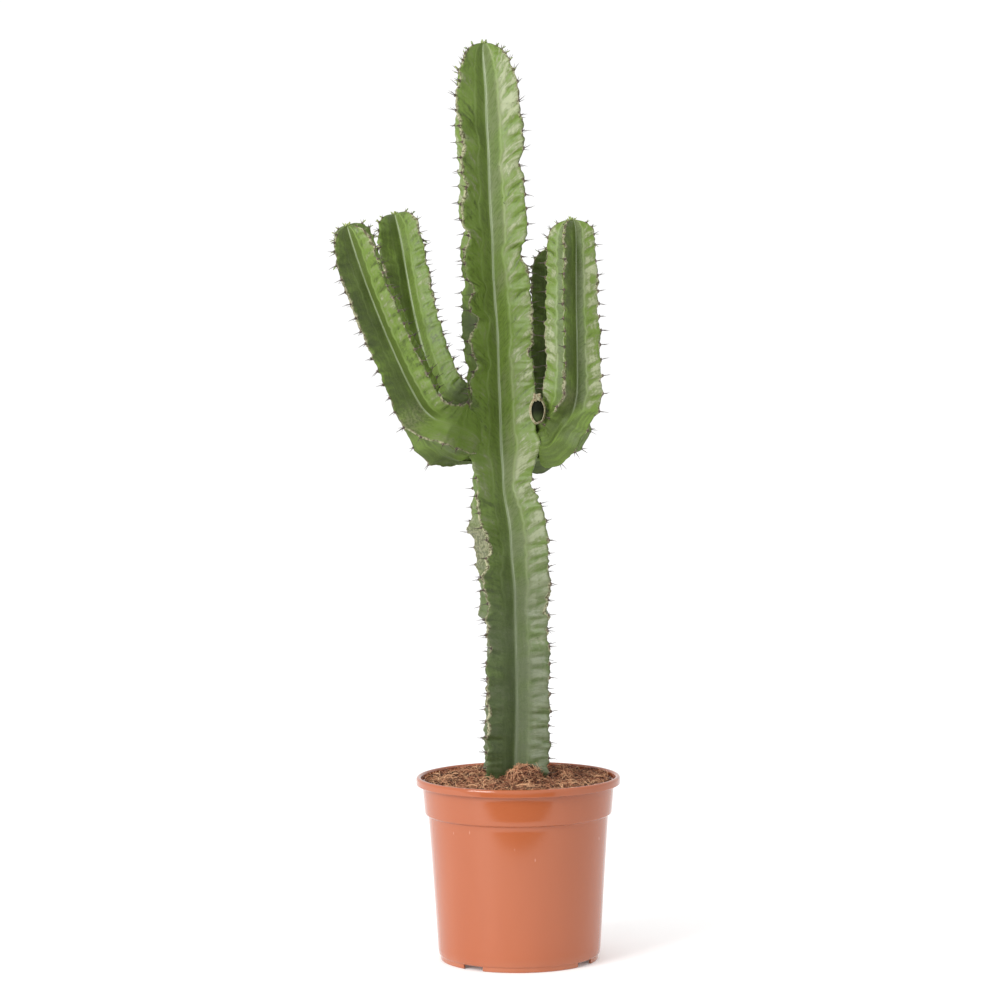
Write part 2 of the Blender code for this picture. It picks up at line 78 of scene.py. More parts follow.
# The stem's line: share of its height, offset along x, offset along y
STEM_LEAN = (
    (0.00, -0.001, 0.000), (0.12, 0.001, 0.000), (0.25, 0.000, 0.001), (0.33, -0.004, 0.002),
    (0.41, -0.011, 0.003), (0.47, -0.013, 0.003), (0.58, -0.015, 0.002), (0.70, -0.0195, 0.000),
    (0.82, -0.0230, -0.001), (0.92, -0.0255, -0.001), (1.00, -0.0295, 0.000),
)
# Azimuths of the four ribs (front left, front right, back right, back left) and of the valley
# that follows each, the height of each rib's lowest areole, and how much cork its edge carries
STEM_RIBS = (-47.0, 47.0, 136.0, -132.0)
STEM_VALLEYS = (-11.0, 91.5, 182.0, -89.5)
STEM_FIRST_AREOLES = (0.012, 0.008, 0.010, 0.005)
STEM_CORK = (0.52, 0.34, 0.34, 0.46)
# Share of the stem's height, share of the full rib length
STEM_WIDTHS = (
    (0.00, 0.97), (0.20, 0.98), (0.29, 1.08), (0.33, 1.10), (0.375, 0.96), (0.41, 0.93),
    (0.46, 1.02), (0.60, 1.03), (0.75, 1.02), (1.00, 1.00),
)
# Constrictions in each rib's edge: height above the soil, depth, half-height
STEM_BITES = (
    ((0.135, 0.006, 0.01), (0.178, 0.005, 0.008), (0.24, 0.013, 0.016), (0.338, -0.006, 0.011),
     (0.43, 0.01, 0.01), (0.473, 0.014, 0.01), (0.506, 0.011, 0.009), (0.559, 0.008, 0.008),
     (0.607, 0.007, 0.01), (0.653, 0.008, 0.01)),
    ((0.178, 0.005, 0.008), (0.303, 0.006, 0.012), (0.345, -0.009, 0.013), (0.44, 0.008, 0.006),
     (0.541, 0.011, 0.01), (0.631, 0.006, 0.009)),
    ((0.112, 0.004, 0.01), (0.305, 0.006, 0.013), (0.451, 0.004, 0.008), (0.541, 0.011, 0.01),
     (0.631, 0.005, 0.009)),
    ((0.142, 0.003, 0.01), (0.178, -0.007, 0.018), (0.268, -0.012, 0.032), (0.47, -0.004, 0.06),
     (0.51, 0.006, 0.009), (0.568, 0.005, 0.009)),
)
# Heights where an arm grows out of a rib's edge, and the edge carries neither spines nor cork
STEM_JOINTS = ((0.314, 0.350), (0.322, 0.362), (0.314, 0.350), (0.314, 0.350))
# How far each rib's edge bends sideways, in waves
STEM_WAVES = (0.0024, 0.0017, 0.0018, 0.0022)
# How far the front left rib leans over towards the front valley: height above the soil, lean
STEM_LEAN_OVER = (
    (0.18, 0.0), (0.235, 0.004), (0.30, 0.0), (0.42, 0.001), (0.50, 0.0035), (0.64, 0.0035),
    (0.70, 0.0),
)
# How strongly each flank is folded, from the left of the front left rib round the stem
STEM_FOLDS = (0.9, 0.60, 1.0, 0.9, 0.9, 0.9, 0.9, 0.9)

# Height of the branching above the soil, and where in the stem's rib an arm's line starts
ARM_HEIGHT = 0.326
ARM_ROOT_SHARE = 0.52
ARM_ROOT_RISE = -0.01
ARM_BEND_START = 0.096
ARM_VALLEY_SHARE = 0.30
ARM_SHOULDER_SHARE = 0.21
ARM_EDGE = 0.0017
ARM_TIP_LENGTH = 0.027
ARM_BARE_SHARE = 0.15
ARM_PATH_STEPS = 160
ARM_WAVES = (0.0016,) * 4
# Share of the arm's length, share of its full rib length
ARM_WIDTHS = (
    (0.00, 0.98), (0.08, 1.05), (0.20, 1.18), (0.33, 1.14), (0.50, 1.05), (0.75, 1.00),
    (1.00, 0.93),
)
# What an arm has unless its own row says otherwise: how far each rib is sunk and bare of cork at
# the root, how much lighter the first rib's flanks are low down, how much painted shade darkens
# each flank's groove
ARM_DEFAULTS = dict(
    sunk=(0.0, 0.0, 0.0, 0.0), bare=(0.0, 0.0, 0.0, 0.0), lighter_root=0.0,
    hollow_shade=(0.5, 0.5, 0.3, 0.35, 0.35, 0.35, 0.35, 0.5))
# Azimuth, reach from the stem's axis, rise above the branching, rib length, rib azimuths, how far
# the section is turned and lifted at the root, the tones of the eight flanks along the arm and at
# its root (0 deep green, 1 green, 2 pale), then the bend as shares of the reach and the rise. The
# tones are partly the skin's bloom and partly painted light and shade: pale on flanks that face
# the light, dark on flanks turned away from it and at shaded roots.
ARMS = {
    "arm_front_left": dict(
        azimuth=-51.4, reach=0.197, rise=0.242, rib=0.0295, ribs=(-43.0, 48.0, 137.0, -133.0),
        turn=56.0, lift=0.006, lighter_root=0.7,
        tone=(-0.2, -0.12, 0.96, 0.8, 0.8, 0.8, 0.8, -0.12),
        root_tone_and_shade=(0.0, 0.9, 0.9, 0.5, 0.4, 0.4, 0.2, 0.0),
        hollow_shade=(0.2, 0.0, 0.88, 0.35, 0.35, 0.35, 0.35, 0.2),
        bend=((0.2, 0.07), (0.36, 0.13), (0.49, 0.22), (0.6, 0.34), (0.716, 0.5), (0.842, 0.7),
              (0.931, 0.86), (1.0, 1.0))),
    "arm_back_left": dict(
        azimuth=-135.0, reach=0.162, rise=0.26, rib=0.0338, ribs=(-44.0, 46.0, 136.0, -134.0),
        turn=20.0, lift=0.006, tone=(0.55, 0.3, 0.9, 0.8, 0.8, 0.8, 0.8, 0.6),
        # Painted shade: the root is darkened in the crook between the left arms and the stem
        root_tone_and_shade=(-0.6,) * 8,
        bend=((0.24, 0.06), (0.435, 0.16), (0.602, 0.28), (0.712, 0.42), (0.803, 0.57),
              (0.872, 0.72), (0.937, 0.88), (1.0, 1.0))),
    "arm_front_right": dict(
        azimuth=55.0, reach=0.0855, rise=0.248, rib=0.028, ribs=(-17.0, 73.0, 163.0, -107.0),
        turn=-50.0, lift=0.015, sunk=(0.34, 0.0, 0.0, 0.0), bare=(1.5, 0.0, 0.0, 0.0),
        tone=(1.62, 0.14, 1.55, 0.8, 0.8, 0.8, 0.8, 1.4),
        root_tone_and_shade=(0.14, 0.1, 0.16, 0.2, 0.2, 0.2, 0.2, 0.14),
        bend=((0.36, 0.06), (0.66, 0.1), (0.87, 0.17), (0.98, 0.28), (1.0, 0.43), (0.99, 0.62),
              (0.99, 0.82), (1.0, 1.0))),
    "arm_back_right": dict(
        azimuth=146.0, reach=0.103, rise=0.223, rib=0.03, ribs=(-78.0, 12.0, 102.0, -168.0),
        turn=20.0, lift=0.008, tone=(0.2, 0.2, 0.3, 0.6, 0.8, 0.8, 0.6, 0.3),
        root_tone_and_shade=(0.1,) * 8,
        bend=((0.34, 0.02), (0.6, 0.12), (0.81, 0.25), (0.93, 0.4), (0.98, 0.55), (1.0, 0.72),
              (1.01, 0.88), (1.0, 1.0))),
}

# The callus: its centre, the half sizes of the flat disc painted dark as its shaded hollow, the
# half width and height of its ring
CALLUS_HEIGHT = SOIL_LEVEL + 0.381
CALLUS_PLACE = (0.0225, -0.0430, CALLUS_HEIGHT)
CALLUS_AZIMUTH = 12.0
CALLUS_SHADE_DISC = (0.0068, 0.0118, 0.0018)
CALLUS_RING = (0.0070, 0.0120)
CALLUS_LAYERS = 3
CALLUS_CORD_RADIUS = 0.0005
CALLUS_CRUMBS = 46

# Seeds of the random draws, the arms' seeds each raised by the arm's number
STEM_SEED = 5
STEM_TRIM_SEED = 71
ARM_SEED = 40
ARM_TRIM_SEED = 80
CALLUS_SEED = 3
COIR_SEED = 7

# Thickness along a spine, a strand on the soil, a standing hair and a strand round a clump
SPINE_TAPER = (1.5, 1.0, 0.62, 0.35, 0.08)
STRAND_TAPER = (0.5, 0.9, 1.0, 1.0, 0.95, 0.8, 0.35)
HAIR_TAPER = (0.9, 0.9, 0.8, 0.7, 0.6, 0.5, 0.2)
CLUMP_TAPER = (0.5, 0.9, 1.0, 1.0, 1.0, 0.95, 0.8, 0.35)
TIP_LEAVES = 9
LOOSE_HAIRS = 34

# The ragged line of a rib's edge: depth, size, step from rib to rib and seed of each layer
RAGGED_EDGE = ((0.00095, 0.0052, 2.3, 13), (0.00055, 0.0019, 2.9, 14), (0.00080, 0.0110, 3.7, 16))
TOOTH_REACH = 0.0023
SWELL_HEIGHT = 0.0009
PUFF_HEIGHT = 0.0022
CORK_REACH = 0.0030

# One rib's outline from valley to valley: control points it runs between, points on the run,
# and how far across the flank each end is, from 0 in the valley to 1 on the crest
RIB_RUNS = (
    (0, 1, 7, 0.00, 0.40), (1, 2, 9, 0.40, 0.94), (2, 3, 3, 0.94, 1.00), (3, 4, 3, 1.00, 0.94),
    (4, 5, 9, 0.94, 0.40), (5, 6, 7, 0.40, 0.00),
)
RIB_POINTS = sum(run[2] for run in RIB_RUNS)
FLANK_POINTS = CREST_POINT = RIB_POINTS // 2

# ---------------------------------------------------------------- the pot's and the stage's design

SOIL_EDGE = RIM_RADIUS - 0.0088
SOIL_RINGS = 64
SOIL_SEGMENTS = 200
# The soil's side: radius and height above its own foot, then radius and height above the ground
SOIL_FOOT = ((0.0805, 0.0), (0.0830, 0.003))
SOIL_STEP = ((0.0908, 0.150), (0.0947, 0.157))
SOIL_TOP_DEPTH = 0.010

# Where the foot and the inside floor lie, and how much the wall narrows from collar to foot
FOOT_HEIGHT = 0.0052
FLOOR_HEIGHT = 0.0065
WALL_TAPER = 0.0092
NOTCH_AZIMUTHS = (-36.0, 55.0, 145.0, 235.0)
NOTCH_SIZE = (0.024, 0.016, 0.0092)
NOTCH_RADIUS = 0.0817
DRAIN_AZIMUTHS = tuple(-36.0 + 45.0 * i for i in range(8))
DRAIN_RADIUS = 0.0055
DRAIN_DEPTH = 0.0083
# Distance from the axis, height
DRAIN_PLACE = (0.056, 0.0065)

# Camera and lights are placed from the pot's axis on the ground; tilt is degrees downwards
CAMERA_PLACE = (-0.0166, -3.3, 0.665)
CAMERA_TILT = 3.28
CAMERA_ROLL = -0.45
CAMERA_LENS = 115.45
SENSOR_WIDTH = 36.0
LIGHTS_AIM = (-0.02, 0.0, 0.45)
# Place, width and height of each light
KEY_LIGHT = ((-1.78, -1.85, 1.25), 1.3, 1.7)
FILL_LIGHT = ((2.2, -1.2, 1.0), 1.2, 1.6)
CARD_PLACE = (-0.05, -1.30, -0.64)
CARD_HEIGHT = 1.2
FLOOR_DROP = 0.0002


# ---------------------------------------------------------------- the fixed colours

# Painted highlight: a whitish sheen on the palest wings
SHEEN_HIGHLIGHT = (0.36, 0.39, 0.24)
# Painted shade greying the grooves of the pale flanks
GROOVE_SHADE_GREY = (0.092, 0.128, 0.044)
# Painted highlight along each flank's fold
FOLD_HIGHLIGHT = (0.235, 0.295, 0.125)
VALLEY_LINE = (0.290, 0.340, 0.210)
OLD_PALE = (0.074, 0.090, 0.048)
SKIN_DUST = (0.24, 0.25, 0.17)
SKIN_FLECK = (0.040, 0.062, 0.014)
SKIN_GRAIN = (0.20, 0.25, 0.11)
SCAR_PALE = (0.215, 0.210, 0.125)
SCAR_DARK = (0.085, 0.092, 0.045)
CORK_DARK = (0.095, 0.085, 0.045)
SHIELD_HORN = (0.150, 0.105, 0.070)
HORN_SPECK = (0.24, 0.19, 0.14)
LEAF_GREEN = (0.10, 0.17, 0.035)
LEAF_PALE = (0.34, 0.40, 0.14)
LEAF_VEIN = (0.26, 0.22, 0.08)
CALLUS_BROWN = (0.27, 0.20, 0.12)
CALLUS_PALE = (0.42, 0.42, 0.27)
# The callus disc: green low down, near black at the top as painted shadow
HOLLOW_LOW = (0.062, 0.088, 0.026)
HOLLOW_TOP_SHADOW = (0.008, 0.010, 0.004)
POT_CLOUD = (0.385, 0.108, 0.042)
POT_SCUFF = (0.62, 0.36, 0.26)
POT_DUST = (0.45, 0.22, 0.13)
SOIL_BROWN = (0.150, 0.062, 0.034)
SOIL_DUST = (0.36, 0.20, 0.11)
FIBRE_DARK = (0.034, 0.013, 0.008)
FIBRE_BROWN = (0.42, 0.165, 0.085)
FIBRE_SPECK = (0.14, 0.065, 0.035)
HUSK_BROWN = (0.42, 0.205, 0.095)
HUSK_PALE = (0.62, 0.36, 0.19)
FLOOR_DULL = (0.93, 0.93, 0.93)
FLOOR_WHITE = (0.94, 0.94, 0.94)
CARD_BLACK = (0.02, 0.018, 0.016)


# ---------------------------------------------------------------- settings

class PlantSettings(bpy.types.PropertyGroup):
    ring_gap: FloatProperty(
        name="Ring gap", description="Distance between the skin's rings",
        default=0.0016, min=0.001, unit="LENGTH")
    areole_gap: FloatProperty(
        name="Areole gap", description="Distance from one pair of spines to the next",
        default=0.0157, min=0.005, unit="LENGTH")
    arm_areole_gap: FloatProperty(
        name="Arm areole gap", description="Distance between pairs of spines on the arms",
        default=0.0145, min=0.005, unit="LENGTH")
    tooth: FloatProperty(
        name="Tooth", description="How far each areole stands out of the rib's edge",
        default=0.0023, min=0.0, unit="LENGTH")
    spine_length: FloatProperty(
        name="Spine length", description="Length of a full-grown spine",
        default=0.0090, min=0.001, unit="LENGTH")
    spine_radius: FloatProperty(
        name="Spine radius", description="Radius of a spine at its shield",
        default=0.00046, min=0.0001, unit="LENGTH")
    leaf_length: FloatProperty(
        name="Leaf length", description="Length of the small leaves at the tips",
        default=0.0058, min=0.001, unit="LENGTH")
    deep: FloatVectorProperty(
        name="Deep green", description="Colour of the darkest flanks", subtype="COLOR",
        default=(0.060, 0.092, 0.012), min=0.0, max=1.0)
    green: FloatVectorProperty(
        name="Green", description="Colour of the fresh green flanks", subtype="COLOR",
        default=(0.116, 0.184, 0.024), min=0.0, max=1.0)
    # The palest tone, worn by the flanks that face the light: partly the waxy bloom, partly painted
    # light
    bloom_and_lighting: FloatVectorProperty(
        name="Bloom", description="Colour of the pale waxy flanks", subtype="COLOR",
        default=(0.160, 0.190, 0.080), min=0.0, max=1.0)
    old: FloatVectorProperty(
        name="Old skin", description="Colour of the skin near the soil", subtype="COLOR",
        default=(0.038, 0.053, 0.020), min=0.0, max=1.0)
    cork: FloatVectorProperty(
        name="Cork", description="Colour of the corky line along the ribs' edges", subtype="COLOR",
        default=(0.40, 0.39, 0.25), min=0.0, max=1.0)
    spine: FloatVectorProperty(
        name="Spine", description="Colour of the spines", subtype="COLOR",
        default=(0.026, 0.017, 0.012), min=0.0, max=1.0)


class PotSettings(bpy.types.PropertyGroup):
    segments: IntProperty(
        name="Segments", description="Faces round the pot", default=168, min=32)
    lip_width: FloatProperty(
        name="Lip width", description="Width of the rolled lip", default=0.0052, unit="LENGTH")
    lip_height: FloatProperty(
        name="Lip height", description="Height of the rolled lip", default=0.0080, unit="LENGTH")
    collar_drop: FloatProperty(
        name="Collar drop", description="Depth of the collar below the rim",
        default=0.038, unit="LENGTH")
    wall: FloatProperty(
        name="Wall", description="Thickness of the wall", default=0.0016, unit="LENGTH")
    plastic: FloatVectorProperty(
        name="Plastic", description="Colour of the pot", subtype="COLOR",
        default=(0.335, 0.087, 0.032), min=0.0, max=1.0)


class CoirSettings(bpy.types.PropertyGroup):
    strands: IntProperty(
        name="Strands", description="Loose coir strands on the soil", default=3600, min=0)
    clump_strands: IntProperty(
        name="Clump strands", description="Strands wound round each clump", default=300, min=0)
    crumbs: IntProperty(
        name="Crumbs", description="Crumbs of pith between the strands", default=420, min=0)
    strand_radius: FloatProperty(
        name="Strand radius", description="Radius of a coir strand",
        default=0.00030, min=0.0001, unit="LENGTH")
    pith: FloatVectorProperty(
        name="Pith", description="Colour of the dark coir", subtype="COLOR",
        default=(0.036, 0.014, 0.008), min=0.0, max=1.0)
    straw: FloatVectorProperty(
        name="Straw", description="Colour of the palest strands", subtype="COLOR",
        default=(0.74, 0.43, 0.24), min=0.0, max=1.0)


class StageSettings(bpy.types.PropertyGroup):
    floor_size: FloatProperty(
        name="Floor size", description="Width and depth of the pale floor",
        default=14.0, unit="LENGTH")
    floor_front: FloatProperty(
        name="Floor front", description="Distance from the pot's axis to the floor's front edge",
        default=0.50, unit="LENGTH")
    sky: FloatProperty(
        name="Sky", description="Brightness of the white surroundings", default=1.04, min=0.0)
    card_width: FloatProperty(
        name="Card width", description="Width of the dark card below the floor's front edge",
        default=2.3, min=0.1, unit="LENGTH")
    key: FloatProperty(
        name="Key", description="Power of the large light at the front left", default=72.0, min=0.0)
    fill: FloatProperty(
        name="Fill", description="Power of the light at the right", default=1.4, min=0.0)


# ---------------------------------------------------------------- small helpers

def outward(azimuth):
    angle = math.radians(azimuth)
    return Vector((math.sin(angle), -math.cos(angle), 0.0))


def unit(vector):
    return vector / np.linalg.norm(vector)


def read_curve(pairs, at):
    """Smoothly read values from (place, value) pairs; at may be an array."""
    at = np.asarray(at, float)
    out = np.full(at.shape, float(pairs[0][1]))
    for (a, low), (b, high) in zip(pairs, pairs[1:]):
        share = np.clip((at - a) / (b - a), 0.0, 1.0)
        share = share * share * (3.0 - 2.0 * share)
        out = np.where(at > a, low + (high - low) * share, out)
    return out


def patches(x, y, seed):
    """Smooth noise from -1 to 1 over two coordinates, one patch per unit."""
    table = np.random.default_rng(seed).uniform(-1.0, 1.0, (128, 128))
    x, y = np.broadcast_arrays(x, y)
    column = np.floor(x).astype(int)
    row = np.floor(y).astype(int)
    u = x - column
    v = y - row
    u = u * u * (3.0 - 2.0 * u)
    v = v * v * (3.0 - 2.0 * v)
    a = table[column % 128, row % 128]
    b = table[(column + 1) % 128, row % 128]
    c = table[column % 128, (row + 1) % 128]
    d = table[(column + 1) % 128, (row + 1) % 128]
    return (a * (1 - u) + b * u) * (1 - v) + (c * (1 - u) + d * u) * v


def smooth_path(points, count):
    """Evenly spaced points on one smooth curve through the given points, and its length."""
    ends = [points[0] * 2 - points[1]] + list(points) + [points[-1] * 2 - points[-2]]
    fine = []
    for i in range(1, len(ends) - 2):
        a, b, c, d = ends[i - 1:i + 3]
        for k in range(24):
            t = k / 24
            fine.append(0.5 * (2 * b + (c - a) * t + (2 * a - 5 * b + 4 * c - d) * t * t
                               + (3 * b - a - 3 * c + d) * t ** 3))
    fine.append(points[-1].copy())
    fine = np.array([tuple(p) for p in fine])
    lengths = np.concatenate(([0.0], np.cumsum(np.linalg.norm(np.diff(fine, axis=0), axis=1))))
    want = np.linspace(0.0, lengths[-1], count + 1)
    even = np.stack([np.interp(want, lengths, fine[:, k]) for k in range(3)], axis=1)
    return even, float(lengths[-1])


def new_mesh_object(name, points, faces, material):
    mesh = bpy.data.meshes.new(name)
    mesh.from_pydata(points, [], faces)
    mesh.materials.append(material)
    mesh.shade_smooth()
    made = bpy.data.objects.new(name, mesh)
    bpy.context.scene.collection.objects.link(made)
    return made


def add_values(made, name, values):
    """Store one number per point for the materials to read."""
    layer = made.data.attributes.new(name, "FLOAT", "POINT")
    layer.data.foreach_set("value", np.asarray(values, np.float32).ravel())


def settle(made, slot, *nodes):
    """Place a finished piece on the pot's axis, attach it to the root body and hide the parts it
    stands for; slot is not used.
    """
    made.location = AXIS
    bpy.context.view_layer.update()
    made.data.transform(made.matrix_world)
    made.location = (0.0, 0.0, 0.0)
    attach(made, "root")
    if nodes:
        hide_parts(*nodes)


class TubeBuilder:
    """Collects tapered tubes and small closed bodies into one mesh."""

    def __init__(self):
        self.points = []
        self.faces = []
        self.shades = []

    def tube(self, path, radii, sides, shade):
        """A closed tube along a path. A radius of zero at the last point makes a pointed end."""
        path = np.asarray(path, float)
        count = len(path)
        tangents = np.gradient(path, axis=0)
        tangents /= np.linalg.norm(tangents, axis=1)[:, None] + 1e-12
        upright = abs(tangents[0][2]) >= 0.8
        guide = np.array((0.9, 0.3, 0.1) if upright else (0.31, 0.17, 0.93))
        start = len(self.points)
        angles = np.arange(sides) * math.tau / sides
        for i in range(count):
            first = unit(np.cross(tangents[i], guide))
            second = np.cross(tangents[i], first)
            for angle in angles:
                offset = first * math.cos(angle) + second * math.sin(angle)
                self.points.append(tuple(path[i] + offset * radii[i]))
                self.shades.append(shade)
        for i in range(count - 1):
            for k in range(sides):
                a = start + i * sides + k
                b = start + i * sides + (k + 1) % sides
                self.faces.append((a, b, b + sides, a + sides))
        self.faces.append(tuple(start + k for k in range(sides))[::-1])
        last = start + (count - 1) * sides
        self.faces.append(tuple(last + k for k in range(sides)))

    def body(self, centre, axes, sizes, rings, sides, shade, shape=None):
        """A closed rounded body: axes are three directions, sizes its half lengths."""
        start = len(self.points)
        centre = np.asarray(centre, float)
        for i in range(1, rings):
            lift = math.pi * i / rings - math.pi / 2.0
            for k in range(sides):
                turn = math.tau * k / sides
                local = (math.cos(lift) * math.cos(turn), math.cos(lift) * math.sin(turn),
                         math.sin(lift))
                swell = shape(local) if shape else 1.0
                self.points.append(tuple(centre + sum(
                    axes[m] * (local[m] * sizes[m] * swell) for m in range(3))))
                self.shades.append(shade)
        low = len(self.points)
        self.points.append(tuple(centre - axes[2] * sizes[2]))
        self.points.append(tuple(centre + axes[2] * sizes[2]))
        self.shades += [shade, shade]
        for k in range(sides):
            j = (k + 1) % sides
            for i in range(rings - 2):
                a = start + i * sides
                self.faces.append((a + k, a + j, a + sides + j, a + sides + k))
            self.faces.append((low, start + j, start + k))
            last = start + (rings - 2) * sides
            self.faces.append((low + 1, last + k, last + j))

    def build(self, name, material):
        made = new_mesh_object(name, self.points, self.faces, material)
        add_values(made, "shade", self.shades)
        return made


# ---------------------------------------------------------------- material helpers

class Shader:
    """A material under construction, with short ways to add and join nodes."""

    def __init__(self, name, roughness=0.5):
        self.material = bpy.data.materials.new(name)
        self.material.use_nodes = True
        self.tree = self.material.node_tree
        self.surface = self.tree.nodes["Principled BSDF"]
        self.put(roughness, self.surface.inputs["Roughness"])

    def node(self, kind, **settings):
        made = self.tree.nodes.new(kind)
        for key, value in settings.items():
            setattr(made, key, value)
        return made

    def put(self, value, socket):
        """Set a socket from a number, a colour or another node's output."""
        if isinstance(value, bpy.types.NodeSocket):
            self.tree.links.new(value, socket)
        elif isinstance(socket.default_value, float):
            socket.default_value = value
        else:
            colour = tuple(value)
            size = len(socket.default_value)
            socket.default_value = (colour + (1.0,))[:size] if len(colour) < size else colour[:size]

    def value(self, name):
        return self.node("ShaderNodeAttribute", attribute_name=name).outputs["Fac"]

    def place(self):
        return self.node("ShaderNodeTexCoord").outputs["Object"]

    def math(self, operation, a, b=0.0):
        made = self.node("ShaderNodeMath", operation=operation)
        self.put(a, made.inputs[0])
        self.put(b, made.inputs[1])
        return made.outputs[0]

    def times(self, a, b):
        return self.math("MULTIPLY", a, b)

    def plus(self, a, b):
        return self.math("ADD", a, b)

    def join(self, x, y, z=0.0):
        made = self.node("ShaderNodeCombineXYZ")
        for value, socket in zip((x, y, z), made.inputs):
            self.put(value, socket)
        return made.outputs[0]

    def band(self, value, low, high, to_low=0.0, to_high=1.0):
        """Move smoothly from one number to another as a value goes from low to high."""
        made = self.node("ShaderNodeMapRange", interpolation_type="SMOOTHSTEP")
        for number, key in ((value, "Value"), (low, "From Min"), (high, "From Max"),
                            (to_low, "To Min"), (to_high, "To Max")):
            self.put(number, made.inputs[key])
        return made.outputs["Result"]

    def cloud(self, where, scale, detail=3.0, roughness=0.55, stretch=None):
        if stretch:
            mapped = self.node("ShaderNodeMapping")
            self.put(where, mapped.inputs["Vector"])
            mapped.inputs["Scale"].default_value = stretch
            where = mapped.outputs["Vector"]
        made = self.node("ShaderNodeTexNoise")
        self.put(where, made.inputs["Vector"])
        self.put(scale, made.inputs["Scale"])
        self.put(detail, made.inputs["Detail"])
        self.put(roughness, made.inputs["Roughness"])
        return made.outputs["Fac"]

    def mix(self, share, a, b, blend="MIX"):
        made = self.node("ShaderNodeMix", data_type="RGBA", blend_type=blend)
        self.put(share, made.inputs["Factor"])
        self.put(a, made.inputs["A"])
        self.put(b, made.inputs["B"])
        return made.outputs["Result"]

    def relief(self, height, depth, strength=1.0, under=None):
        made = self.node("ShaderNodeBump")
        made.inputs["Strength"].default_value = strength
        made.inputs["Distance"].default_value = depth
        self.put(height, made.inputs["Height"])
        if under is not None:
            self.put(under, made.inputs["Normal"])
        return made.outputs["Normal"]

    def finish(self, **sockets):
        """Set the surface's own sockets, each named with underscores for its spaces."""
        for key, value in sockets.items():
            self.put(value, self.surface.inputs[key.replace("_", " ")])
        return self.material


# ---------------------------------------------------------------- materials

